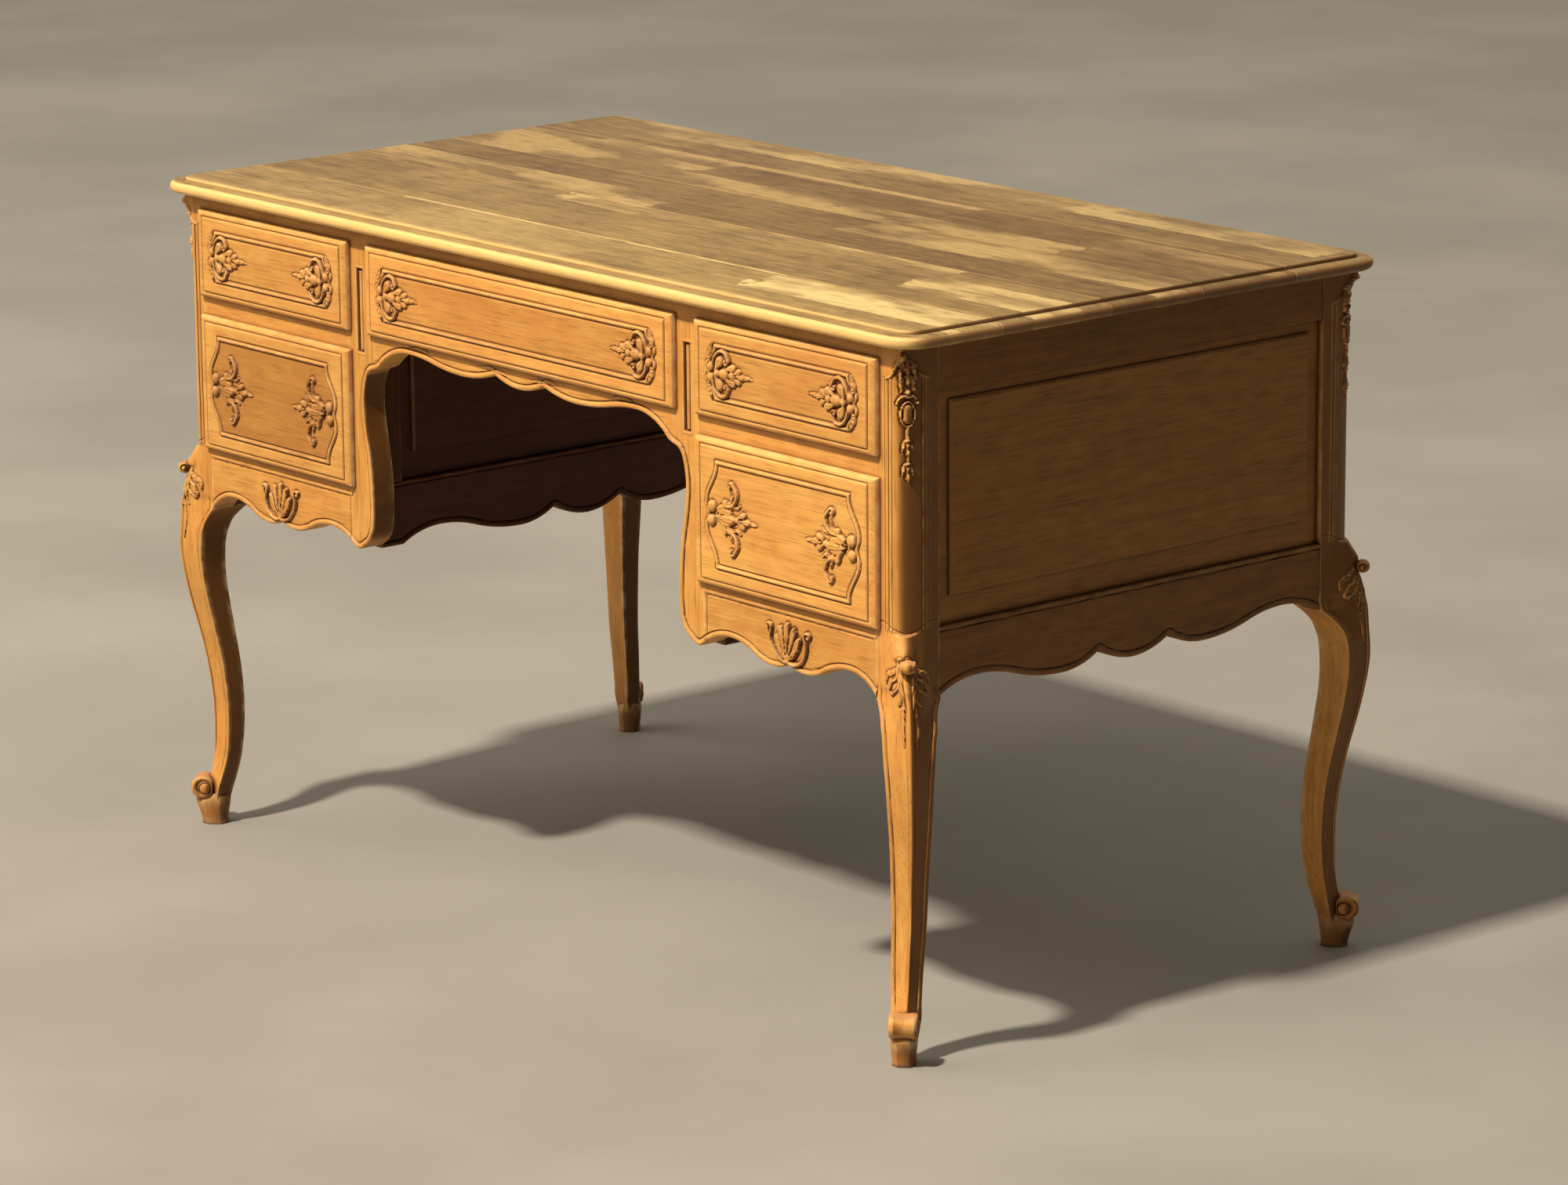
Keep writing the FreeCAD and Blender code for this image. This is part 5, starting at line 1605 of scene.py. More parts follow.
@dataclass
class SideAprons:
    """The scalloped bottom rails of the desk's sides and of the kneehole's sides."""

    low: float = 380.0
    rise: float = 19.0
    top: float = 457.0
    side_half: float = 274.0
    kneehole_half: float = 266.0
    side_thickness: float = 22.0
    kneehole_thickness: float = 16.0
    moulding: float = 5.0
    pitch: float = 1.3
    rows: int = 58
    top_moulding: Moulding = Moulding(((2.9, 2.0, 1.2),), ((0.0, 0.9, 1.5),))
    middle_lobe: tuple[Place, ...] = ((0.0, 0.0), (0.0915, 0.20), (0.183, 0.80))
    outer_lobe: tuple[Place, ...] = (
        (0.183, 0.80), (0.26, 0.26), (0.37, 0.0), (0.485, 0.123), (0.60, 0.50),
        (0.70, 0.878), (0.80, 1.0), (0.90, 0.81), (1.0, 0.20),
    )

    def line(self, half_span: float) -> np.ndarray:
        """The scalloped edge over a half span, from its middle outwards."""
        return scallops((self.middle_lobe, self.outer_lobe), half_span, self.low, self.rise)

    def apron(
        self, name: str, half_span: float, face_x: float, thickness: float, reach: float = 0.0,
    ) -> bpy.types.Object:
        """One side rail, its carved face towards +X.

        Args:
            name: The piece's name.
            half_span: Half the length of its scallops.
            face_x: Where its face lies.
            thickness: Its thickness.
            reach: How far it goes on in front of the scallops.

        Returns:
            The rail.
        """
        columns = np.linspace(-half_span - reach, half_span, int((2 * half_span + reach) / self.pitch))
        line = self.line(half_span)
        z = rows_above(np.abs(columns), line, self.top, self.rows)
        y = np.broadcast_to(columns, z.shape)
        whole = np.vstack([line[::-1] * np.array([-1.0, 1.0]), line[1:]])
        whole = np.vstack([[columns[0] - 1.0, line[-1, 1]], whole])
        out = EDGE.heights(line_distance(whole, y, z))
        out = out + self.top_moulding.heights(z - self.top + self.moulding)
        face = np.stack([face_x + out, y, z], axis=-1)
        return board_piece(name, face, (-thickness, 0, 0))

    def build(self) -> None:
        """Builds the four rails and seats them."""
        d = DESK
        outer = self.apron("side_apron_right_carved", self.side_half, d.side_face, self.side_thickness)
        inner = self.apron(
            "kneehole_side_apron_left_carved", self.kneehole_half, -d.inner_face,
            self.kneehole_thickness, d.frame_back - self.kneehole_half,
        )
        left = mirrored(outer, "side_apron_left_carved", -1, 1)
        right = mirrored(inner, "kneehole_side_apron_right_carved", -1, 1)
        for piece in (outer, left, inner, right):
            # The desk's side rails get darker oak as painted shade; the kneehole's rails get the shaded oak.
            finish = FINISHES.shaded if piece.name.startswith("kneehole_") else FINISHES.side_rail
            dress(piece, finish, Grain.ALONG_Y, Surface.CARVED)
            seat(piece, CASE_BODY, piece.name.removesuffix("_carved"))


def carve_knee(c: Carver) -> None:
    """The leaf below the knee's volute, drawn for one face outwards from the arris.

    Args:
        c: The carver at its place.
    """
    c.leaf([(2.0, 14), (5.5, 4), (6.5, -10), (4.5, -30)], 3.4, 2.0, 4)
    c.scroll([(6, 6), (10, -4), (17, -8), (22, -14)], 1.3, 1.1, 1.8)
    c.scroll([(6, -4), (11, -13), (17, -17), (21, -20)], 1.1, 0.8, 1.5)
    c.scroll([(6, -14), (10, -24), (14, -28)], 1.0, 0.6, 1.3)
    c.curl((21.5, -17.5), 3.4, 70, -0.8, 1.1, 1.9)
    c.leaf([(8, 4), (14, 0), (24, -4), (28, -12)], 2.6, 1.8, 4)
    c.leaf([(6, -22), (9, -40), (8, -62)], 2.0, 1.2, 2)


def carve_pendant(c: Carver) -> None:
    """The pendant on the post: leaves, drops, an oval medallion and a bellflower.

    Args:
        c: The carver at its place.
    """
    for side in (1.0, -1.0):
        c.leaf([(1.5 * side, 64), (4.5 * side, 54), (6.5 * side, 44), (7.5 * side, 33)], 2.9, 3.4, 3)
        c.leaf([(7 * side, 56), (10.5 * side, 49), (13 * side, 40)], 2.1, 2.6, 3)
        c.leaf([(3 * side, 40), (5.5 * side, 32), (6 * side, 22)], 2.3, 3.0, 3)
        c.scroll([(0, 17), (4 * side, 18.5), (8.5 * side, 15), (10 * side, 10)], 1.5, 0.9, 2.6)
        c.bud((9.6 * side, 11), 1.8, 2.6)
        c.leaf([(0.6 * side, -26), (3.4 * side, -31), (5.6 * side, -39)], 1.9, 2.6, 2)
        c.leaf([(0.6 * side, -50), (3.6 * side, -55), (5.2 * side, -63)], 1.8, 2.2, 2)
    c.leaf([(0, 62), (0, 46), (0, 28)], 2.8, 3.8, 4)
    c.bud((0, 22), 2.6, 3.2)
    rim = [(6.6 * math.sin(t), 12.8 * math.cos(t)) for t in (math.tau * i / 16 for i in range(17))]
    c.scroll(rim, 1.15, 1.15, 2.2)
    c.bud((0, 0), 4.6, 2.6, (0.0, 5.4))
    c.scroll([(0, -14), (0.4, -19), (0, -25)], 1.9, 1.3, 2.4)
    c.leaf([(0, -25), (0, -34), (0, -44)], 2.4, 3.2, 3)
    c.scroll([(0, -42), (0, -49)], 0.7, 0.7, 1.4)
    c.leaf([(0, -49), (0, -58), (0, -70)], 2.1, 2.6, 3)


@dataclass
class Post:
    """A corner post and its cabriole leg, carved once for the back right corner and then mirrored.

    The outlines are rows of a height as a share of the knee's, and the reach along x and along y as
    shares of the leg's. The ridge is given as half its width at the ankle and at the knee, and its
    rise. Beads and lines are given as their middle, half their width and their height or depth.
    """

    outer: tuple[Spot, ...] = (
        (0.060, 0.273, 0.233), (0.130, 0.253, 0.150), (0.208, 0.167, -0.033), (0.286, 0.140, -0.107),
        (0.378, 0.200, -0.133), (0.482, 0.323, -0.043), (0.586, 0.550, 0.120), (0.690, 0.813, 0.353),
        (0.781, 0.997, 0.527), (0.872, 1.087, 0.627), (0.951, 1.020, 0.600), (1.0, 0.97, 0.585),
        (1.045, 0.83, 0.54), (1.094, 0.65, 0.47), (1.1425, 0.45, 0.39), (1.1875, 0.3333, 0.3333),
    )
    inner: tuple[Spot, ...] = (
        (0.060, 0.383, 0.367), (0.130, 0.550, 0.583), (0.208, 0.783, 0.750), (0.286, 0.860, 0.867),
        (0.378, 0.863, 0.927), (0.482, 0.793, 0.893), (0.586, 0.653, 0.787), (0.690, 0.500, 0.653),
        (0.781, 0.407, 0.560), (0.845, 0.403, 0.552), (0.885, 0.430, 0.580), (0.911, 0.468, 0.630),
        (0.932, 0.530, 0.705), (0.951, 0.600, 0.790), (0.966, 0.690, 0.905), (0.979, 0.785, 1.045),
        (0.990, 0.875, 1.185), (1.0, 0.9667, 1.3333),
    )
    radii: tuple[float, float, float] = (3.0, 6.0, 15.0)
    column_inset: Place = (14.5, 27.0)
    column_quirk: float = 1.5
    label_ends: float = 721.0
    label_crown: float = 739.0
    medallion: float = 683.0
    volute: float = 427.0
    leg_ground: float = 1.4
    fade: float = 2.0
    knee_flow: Place = (354.0, 398.0)
    tongue_rise: float = 6.5
    ankle: float = 0.06
    face_points: int = 46
    corner_points: int = 26
    inner_points: int = 7
    leg_pitch: float = 1.5
    column_pitch: float = 0.85
    knee_pitch: float = 1.0
    knee_reach: float = 26.0
    flow_share: float = 0.85
    label_bend: float = 1.3
    leg_end: Span = (8.0, 18.0)
    foot_fade: Span = (46.0, 66.0)
    rim_share: float = 0.8
    ridge_half: Spot = (2.4, 5.0, 1.6)
    ridge_heights: Span = (120.0, 400.0)
    ridge_fade: Span = (62.0, 110.0)
    ridge_end: float = 12.0
    ridge_line: Spot = (1.0, 1.6, 0.8)
    tongue_top: float = 8.0
    tongue_foot: float = 7.0
    tongue_half: float = 10.0
    leaf_drop: float = 9.0
    leaf_scale: Place = (1.2, 1.1)
    column_moulding: Moulding = Moulding(
        ((2.2, 2.2, 0.9), (8.0, 2.2, 0.7)), ((5.0, 0.8, 1.4), (10.8, 0.8, 1.2)),
    )
    label_bead: Spot = (0.4, 1.7, 1.9)
    label_reach: float = 1.55
    label_fade: Span = (-0.8, 1.0)
    label_droop: float = 6.0
    label_limit: float = 1.7
    notch_line: Place = (1.0, 1.3)
    notch_fall: float = 7.0
    notch_drop: float = 0.5
    notch_start: float = 0.1
    notch_end: float = 1.6
    notch_reach: float = 2.2

    def heights(self) -> np.ndarray:
        """Heights of the sections, finer where the carving is."""
        d = DESK
        knee_foot = d.knee - self.knee_reach
        leg = np.arange(self.ankle * d.knee, knee_foot, self.leg_pitch)
        knee = np.arange(knee_foot, d.shoulder, self.knee_pitch)
        column = np.arange(d.shoulder, d.top_underside, self.column_pitch)
        return np.concatenate([leg, knee, column, [d.top_underside]])

    def bounds(self, z: np.ndarray) -> list[np.ndarray]:
        """The inner faces, the outer faces and the corner's roundness at each height.

        Args:
            z: Heights of the sections.

        Returns:
            Inner x and y, outer x and y, and the corner's radii along x and y.
        """
        d = DESK
        share = z / d.knee
        outer, inner = np.array(self.outer).T, np.array(self.inner).T

        def reach(curve: np.ndarray) -> list[np.ndarray]:
            """How far a face reaches along x and along y at each height."""
            held = np.clip(share, curve[0][0], curve[0][-1])
            return [spline(curve[0], row, held) * d.leg_reach for row in curve[1:]]

        (out_x, out_y), (in_x, in_y) = reach(outer), reach(inner)
        rise = np.clip((z - d.knee) / (d.shoulder - d.knee), 0, 1)
        foot, knee, column = self.radii
        radius = foot + (knee - foot) * np.clip(share, 0, 1) + (column - knee) * rise
        square = ease(z, d.shoulder - self.fade, d.shoulder)
        radii = [radius + (inset - column) * square for inset in self.column_inset]
        return [d.foot_x - in_x, d.foot_y - in_y, d.foot_x + out_x, d.foot_y + out_y] + radii

    def label(self, around: np.ndarray) -> np.ndarray:
        """Height of the label's arched line at a share of the way from the corner, -1 to 1."""
        arch = np.cos(around * math.pi / 2) ** self.label_bend
        return self.label_ends + (self.label_crown - self.label_ends) * arch

    def section(self, z: np.ndarray, bounds: list[np.ndarray]) -> list[np.ndarray]:
        """The outer side of the plain sections and the way out from it.

        Args:
            z: Heights, one to a row.
            bounds: The bounds at each height, one to a row.

        Returns:
            x and y of the places, and x and y of the way out.
        """
        x0, y0, x1, y1, round_x, round_y = bounds
        face = np.linspace(0, 1, self.face_points)
        turn = np.linspace(math.pi / 2, 0, self.corner_points)[1:-1]
        eased = ease(face, 0.0, self.flow_share)
        flow = eased + (1 - eased) * (1 - ease(z, *self.knee_flow))
        front_x = x0 + (x1 - round_x - x0) * face
        front_y = DESK.half_depth + (y1 - DESK.half_depth) * flow
        corner_x = x1 - round_x + round_x * np.cos(turn)
        corner_y = y1 - round_y + round_y * np.sin(turn)
        side_y = (y1 - round_y) + (y0 - y1 + round_y) * face
        side_x = DESK.half_length + (x1 - DESK.half_length) * flow[:, ::-1]
        slope = np.hypot(round_y * np.cos(turn), round_x * np.sin(turn))
        return [
            np.hstack([front_x, corner_x, side_x]),
            np.hstack([front_y, corner_y, side_y]),
            np.hstack([0 * front_x, round_y * np.cos(turn) / slope, 1 + 0 * side_x]),
            np.hstack([1 + 0 * front_x, round_x * np.sin(turn) / slope, 0 * side_x]),
        ]

    def loop(self) -> np.ndarray:
        """The carved sections as rows of places.

        Returns:
            An array of rows, points in a row, and x, y, z.
        """
        z = self.heights()[:, None]
        bounds = [bound[:, None] for bound in self.bounds(z[:, 0])]
        x, y, out_x, out_y = self.section(z, bounds)
        passed = np.cumsum(np.hypot(np.diff(x, prepend=x[:, :1]), np.diff(y, prepend=y[:, :1])), axis=1)
        first, last = self.face_points - 1, x.shape[1] - self.face_points
        quarter = (passed[:, last, None] - passed[:, first, None]) / 2
        along = passed[:, first, None] + quarter - passed
        from_edge = np.minimum(passed, passed[:, -1:] - passed)
        from_edge[:, first + 1:last] = FAR
        height = np.broadcast_to(z, x.shape)
        out = self.relief(along, from_edge, height, quarter)
        x, y = self.square_head(x, y, along, height, quarter)
        x, y = x + out_x * out, y + out_y * out
        x0, y0 = bounds[:2]
        steps = np.linspace(0, 1, self.inner_points)[1:]
        back_x = x[:, -1:] + (x0 - x[:, -1:]) * steps
        rise_y = y0 + (y[:, :1] - y0) * steps[:-1]
        rows_x = np.hstack([x, back_x, x0 + 0 * rise_y])
        rows_y = np.hstack([y, y0 + 0 * back_x, rise_y])
        return np.stack([rows_x, rows_y, np.broadcast_to(z, rows_x.shape)], axis=-1)

    def square_head(
        self, x: np.ndarray, y: np.ndarray, along: np.ndarray, z: np.ndarray, quarter: np.ndarray,
    ) -> tuple[np.ndarray, np.ndarray]:
        """Sinks the column's quarter round below the arched label and keeps the head square above it.

        Args:
            x: Places of the rounded sections.
            y: Places of the rounded sections.
            along: Distance round the section from its corner.
            z: Heights.
            quarter: Half the quarter round's length.

        Returns:
            The new places.
        """
        d = DESK
        around = along / quarter
        round_corner = np.abs(around) <= 1
        column = ease(z, d.shoulder - self.fade, d.shoulder + 1)
        above = ease(z - self.label(around), *self.label_fade)
        side = np.clip(np.abs(around), 0, 1)
        far_x = np.where(around > 0, d.half_length - self.column_inset[0] * side, d.half_length)
        far_y = np.where(around > 0, d.half_depth, d.half_depth - self.column_inset[1] * side)
        sunk_x = x - self.column_quirk * np.cos(math.pi / 4 * (1 - around)) * column
        sunk_y = y - self.column_quirk * np.sin(math.pi / 4 * (1 - around)) * column
        new_x = sunk_x + (far_x - sunk_x) * above
        new_y = sunk_y + (far_y - sunk_y) * above
        return np.where(round_corner, new_x, x), np.where(round_corner, new_y, y)

    def relief(
        self, along: np.ndarray, from_edge: np.ndarray, z: np.ndarray, quarter: np.ndarray,
    ) -> np.ndarray:
        """The carving on the post and the leg, as heights out from its faces.

        Args:
            along: Distance round the section from its corner.
            from_edge: Distance from the face's inner edge.
            z: Heights.
            quarter: Half the length round the corner.

        Returns:
            The heights.
        """
        d = DESK
        leg = 1 - ease(z, *(d.knee + end for end in self.leg_end))
        foot = ease(z, *self.foot_fade)
        ground = -self.leg_ground * leg * foot
        reach = np.abs(along)
        out = EDGE.heights(from_edge) * self.rim_share * leg * foot + self.ridge(reach, z) + ground
        tongue = ease(-z, -d.shoulder - self.fade, -self.volute - self.tongue_top)
        tongue = tongue * ease(z, self.volute, self.volute + self.tongue_foot)
        out = out + self.tongue_rise * tongue * np.exp(-((reach / self.tongue_half) ** 2))
        leaf = Carving(reach, z)
        scale, rise = self.leaf_scale
        carve_knee(Carver(leaf, (0.0, self.volute - self.leaf_drop), scale=scale, rise=rise))
        out = leaf.over(np.maximum(out, ground + leaf.relief), out)
        column = ease(z, d.shoulder + 1, d.shoulder + 1 + self.fade)
        column = column * (1 - ease(z, self.label_ends - self.fade, self.label_ends))
        out = out + self.column_moulding.heights(reach - quarter) * column
        around = np.clip(along / quarter, -self.label_limit, self.label_limit)
        brow = self.label(np.clip(around, -1, 1)) - self.label_droop * np.clip(np.abs(around) - 1, 0, 1)
        label = bead(z - brow, *self.label_bead) * (np.abs(around) < self.label_reach)
        out = np.where((label > RAISED) & (z > self.medallion), np.maximum(out, label), out)
        pendant = Carving(along, z)
        carve_pendant(Carver(pendant, (0.0, self.medallion)))
        out = pendant.over(np.maximum(out, pendant.relief), out)
        slope = np.clip(reach / quarter - self.notch_start, 0, self.notch_end)
        notch = d.shoulder - self.notch_drop + self.notch_fall * slope
        return out + quirk(z, notch, *self.notch_line) * (reach < quarter * self.notch_reach)

    def ridge(self, reach: np.ndarray, z: np.ndarray) -> np.ndarray:
        """The rounded ridge down the leg's arris, with a line on each side.

        Args:
            reach: Distance from the arris.
            z: Heights.

        Returns:
            The heights.
        """
        narrow, wide, rise = self.ridge_half
        half = narrow + (wide - narrow) * ease(z, *self.ridge_heights)
        gap, width, depth = self.ridge_line
        ridge = bead(reach, 0.0, half, rise) + quirk(reach - half, gap, width, depth)
        return ridge * ease(z, *self.ridge_fade) * (1 - ease(z, self.volute - self.ridge_end, self.volute))

    def shaft(self) -> bpy.types.Object:
        """The post and the leg down to the scroll."""
        return swept("shaft", capped(self.loop()))


def on_diagonal(out: np.ndarray, aside: np.ndarray, z: np.ndarray) -> np.ndarray:
    """Places measured from the foot's centre along the leg's diagonal and square to it.

    Args:
        out: Distances out along the diagonal.
        aside: Distances square to it.
        z: Heights.

    Returns:
        The places in space.
    """
    x = DESK.foot_x + (out + aside) / math.sqrt(2)
    y = DESK.foot_y + (out - aside) / math.sqrt(2)
    return np.stack([x, y, z + 0 * out], axis=-1)


@dataclass(frozen=True)
class Roll:
    """A rolled end across the leg's diagonal, whose two faces are carved as a spiral round an eye.

    Its outline is given as radii at even turns from the outer side. Its place is its middle: out
    along the diagonal, aside from it, and height. Soft is the share of the radius over which the
    rims are rounded, and waist is how far it is drawn in at its middle, or swells where negative.
    """

    radii: tuple[float, ...]
    place: Spot
    width: float
    eye: float
    soft: float
    waist: float
    turn_points: int = 72
    face_rings: int = 30
    middle_rings: int = 11
    first_ring: float = 0.02
    flat_end: float = 0.93
    pitch: float = 0.60
    start: float = 0.12
    band_half: float = 0.42
    band_rise: Place = (1.7, 0.5)
    eye_rise: Place = (2.6, 0.3)
    eye_line: Place = (0.9, 1.1)

    def carved(self, share: float, r: np.ndarray, turn: np.ndarray) -> np.ndarray:
        """Heights of the spiral and its eye along one ring of a face.

        Args:
            share: The ring's size as a share of the outline.
            r: The ring's radii.
            turn: The angles of its points.

        Returns:
            The heights.
        """
        winding = (share - turn / math.tau * self.pitch + self.start) % self.pitch / self.pitch
        band = bead(winding, 0.5, self.band_half, self.band_rise[0]) - self.band_rise[1]
        dome = bead(r, 0.0, self.eye, self.eye_rise[0]) + self.eye_rise[1]
        face = np.where(r < self.eye + self.eye_line[0], -self.eye_line[1], band)
        return np.where(r < self.eye, dome, face) * (1 - ease(share, self.flat_end, 1.0))

    def rows(self) -> np.ndarray:
        """Rows of rings from one end to the other."""
        middle, off, height = self.place
        turn = np.linspace(0, math.tau, self.turn_points, endpoint=False)
        marks = np.arange(len(self.radii) + 1) * math.tau / len(self.radii)
        radius = spline(marks, (*self.radii, self.radii[0]), turn)

        def ring(r: np.ndarray, aside: np.ndarray) -> np.ndarray:
            """A ring of the roll at a distance from the diagonal."""
            return on_diagonal(middle + r * np.cos(turn), aside, height + r * np.sin(turn))

        faces = []
        for side in (-1.0, 1.0):
            rings = []
            for share in np.linspace(self.first_ring, 1.0, self.face_rings):
                past = max(share - 1 + self.soft, 0) / self.soft
                rim = self.soft * radius.max() * (1 - math.sqrt(1 - past**2))
                carved = self.carved(share, radius * share, turn)
                rings.append(ring(radius * share, off + side * (self.width / 2 + carved - rim)))
            faces.append(rings if side < 0 else rings[::-1])
        reach = 1 - self.soft * 1.5
        between = []
        for share in np.linspace(-reach, reach, self.middle_rings):
            r = radius - self.waist * math.cos(share * math.pi / 2) ** 2
            between.append(ring(r, off + share * self.width / 2 * np.ones_like(turn)))
        return np.array(faces[0] + between + faces[1])


@dataclass
class Foot:
    """The scroll and the faceted pad under each leg, and the volute on its knee.

    The pad's sections are given as their inner and outer ends along the diagonal, half their width
    and their height.
    """

    pad: tuple[tuple[float, float, float, float], ...] = (
        (-14.6, 14.2, 12.5, 0.0), (-15.0, 14.8, 12.8, 1.2), (-14.2, 14.6, 12.3, 5.5),
        (-15.0, 16.4, 12.8, 12.0), (-16.2, 18.6, 13.4, 19.0), (-17.4, 21.2, 13.9, 26.5),
        (-17.2, 21.4, 13.6, 29.5), (-16.0, 20.0, 12.6, 32.5), (-14.0, 17.0, 11.0, 37.0),
    )
    facet_share: float = 0.52
    facet_marks: Spot = (0.04, 0.5, 0.96)
    scroll: Roll = Roll(
        (17.4, 16.6, 14.0, 11.4, 8.8, 10.2, 12.6, 15.6), (9.5, 0.0, 44.0), 28.0, 6.4, soft=0.22, waist=0.9,
    )
    volute: Roll = Roll(
        (6.6, 6.6, 6.2, 6.2, 6.2, 6.2, 6.2, 6.6), (24.5, 6.5, 427.0), 14.5, 2.8, soft=0.45, waist=-1.2,
    )

    def pad_rows(self) -> np.ndarray:
        """The pad's eight-sided sections."""
        rows = []
        for inner, outer, half_width, z in self.pad:
            centre, half = (inner + outer) / 2, (outer - inner) / 2
            corners = []
            for out, aside in ((1, -1), (1, 1), (-1, 1), (-1, -1)):
                near = (out, aside * self.facet_share)
                far = (out * self.facet_share, aside)
                corners += [near, far] if out * aside > 0 else [far, near]
            ring = []
            for a, b in zip(corners, corners[1:] + corners[:1]):
                for t in self.facet_marks:
                    ring.append((a[0] + (b[0] - a[0]) * t, a[1] + (b[1] - a[1]) * t))
            u, v = np.array(ring).T
            rows.append(on_diagonal(centre + u * half, v * half_width, np.full(len(u), z)))
        return capped(rows)

    def parts(self) -> list[bpy.types.Object]:
        """The pad, the scroll and the knee's volute."""
        rings = (self.pad_rows(), self.scroll.rows(), self.volute.rows())
        return [swept("foot_part", rows) for rows in rings]


def joined(name: str, pieces: Sequence[bpy.types.Object]) -> bpy.types.Object:
    """One object made of several parts of the same piece of wood.

    Args:
        name: The new piece's name.
        pieces: The parts, which are taken up by it.

    Returns:
        The whole piece.
    """
    work = bmesh.new()
    for piece in pieces:
        work.from_mesh(piece.data)
        bpy.data.objects.remove(piece)
    mesh = bpy.data.meshes.new(name)
    work.to_mesh(mesh)
    work.free()
    return linked(name, mesh)


def build_legs() -> None:
    """Carves one corner post with its leg and foot, and mirrors it to the other corners."""
    post = joined("back_post_right_carved", [Post().shaft()] + Foot().parts())
    finish_mesh(post, sharp_degrees=60.0)
    legs = [(post, "back_post_right")]
    corners = (("back_post_left", -1, 1), ("front_post_right", 1, -1), ("front_post_left", -1, -1))
    for name, sx, sy in corners:
        legs.append((mirrored(post, name + "_carved", sx, sy), name))
    for piece, name in legs:
        dress(piece, FINISHES.case, Grain.ALONG_Z, Surface.CARVED)
        seat(piece, CASE_BODY, name)


@dataclass
class DeskTop:
    """The top of boards glued edge to edge, with a rounded nose and a raised field."""

    field_rise: float = 4.0
    field_inset: float = 18.0
    corner_radius: float = 38.0
    nose_radius: float = 6.0
    joint_shares: tuple[float, ...] = (0.19, 0.41, 0.60, 0.80)
    tones: tuple[float, ...] = (0.50, 0.20, -0.06, -0.10, 0.12)
    corner_points: int = 14
    nose_points: int = 7
    arris: float = 0.5
    arris_degrees: float = 50.0
    sharp_degrees: float = 35.0
    field_edge: tuple[Place, ...] = ((-2.2, -0.1), (-1.2, -0.9), (-0.2, -0.7))
    field_curve: tuple[Place, ...] = ((0.1, -2.0), (0.7, -0.7), (2.2, 0.0))

    def levels(self) -> list[Place]:
        """Insets and heights up the moulded edge."""
        low = DESK.top_underside
        shelf = DESK.height - self.field_rise
        r = self.nose_radius
        turns = [math.pi / 2 * i / self.nose_points for i in range(self.nose_points + 1)]
        levels = [(r * (1 - math.sin(t)), low + r * (1 - math.cos(t))) for t in turns]
        levels += [(r * (1 - math.cos(t)), shelf - r * (1 - math.sin(t))) for t in turns]
        levels += [(self.field_inset + out, shelf + up) for out, up in self.field_edge]
        levels += [(self.field_inset + out, DESK.height + up) for out, up in self.field_curve]
        return levels

    def ring(self, inset: float, z: float) -> list[Vector]:
        """The rounded outline at an inset and a height.

        Args:
            inset: How far it lies inside the top's edge.
            z: Its height.

        Returns:
            Its points in metres.
        """
        x = DESK.top_length / 2 - inset
        y = DESK.top_depth / 2 - inset
        r = self.corner_radius - inset
        points = []
        for sx, sy, start in ((1, 1, 0), (-1, 1, 90), (-1, -1, 180), (1, -1, 270)):
            for i in range(self.corner_points + 1):
                turn = math.radians(start + 90 * i / self.corner_points)
                where = (sx * (x - r) + r * math.cos(turn), sy * (y - r) + r * math.sin(turn), z)
                points.append(Vector(where) * MM)
        return points

    def slab(self) -> bmesh.types.BMesh:
        """The whole top before it is divided."""
        work = bmesh.new()
        rings = [[work.verts.new(p) for p in self.ring(inset, z)] for inset, z in self.levels()]
        for low, high in zip(rings, rings[1:]):
            for i in range(len(low)):
                j = (i + 1) % len(low)
                work.faces.new((low[i], low[j], high[j], high[i]))
        work.faces.new(rings[0][::-1])
        work.faces.new(rings[-1])
        return work

    def board(
        self, whole: bmesh.types.BMesh, name: str, start: float, end: float,
    ) -> bpy.types.Object:
        """One board, cut from the whole top between two joints, with its arrises rounded a little.

        Args:
            whole: The whole top.
            name: The board's name.
            start: Where the joint in front of it lies.
            end: Where the joint behind it lies.

        Returns:
            The board.
        """
        work = whole.copy()
        for y, outward in ((start, -1), (end, 1)):
            parts = work.verts[:] + work.edges[:] + work.faces[:]
            cut = bmesh.ops.bisect_plane(
                work, geom=parts, plane_co=(0, y * MM, 0), plane_no=(0, outward, 0), clear_outer=True,
            )
            edges = [e for e in cut["geom_cut"] if isinstance(e, bmesh.types.BMEdge)]
            if edges:
                bmesh.ops.edgenet_fill(work, edges=edges)
        mesh = bpy.data.meshes.new(name)
        work.to_mesh(mesh)
        work.free()
        mesh.shade_smooth()
        mesh.set_sharp_from_angle(angle=math.radians(self.sharp_degrees))
        piece = linked(name, mesh)
        rounding = piece.modifiers.new("arris", "BEVEL")
        rounding.width = self.arris * MM
        rounding.segments = 2
        rounding.limit_method = "ANGLE"
        rounding.angle_limit = math.radians(self.arris_degrees)
        return piece

    def build(self) -> None:
        """Divides the slab into its boards and dresses them."""
        half = DESK.top_depth / 2
        joints = [-half - 1] + [(s - 0.5) * DESK.top_depth for s in self.joint_shares] + [half + 1]
        whole = self.slab()
        for number, (start, end) in enumerate(zip(joints, joints[1:])):
            piece = self.board(whole, f"top_board_{number + 1}", start, end)
            tint(piece, self.tones[number])
            dress(piece, FINISHES.top, Grain.ALONG_X, Surface.PLAIN)
            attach(piece, CASE_BODY)
        whole.free()
        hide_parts("top_boards")


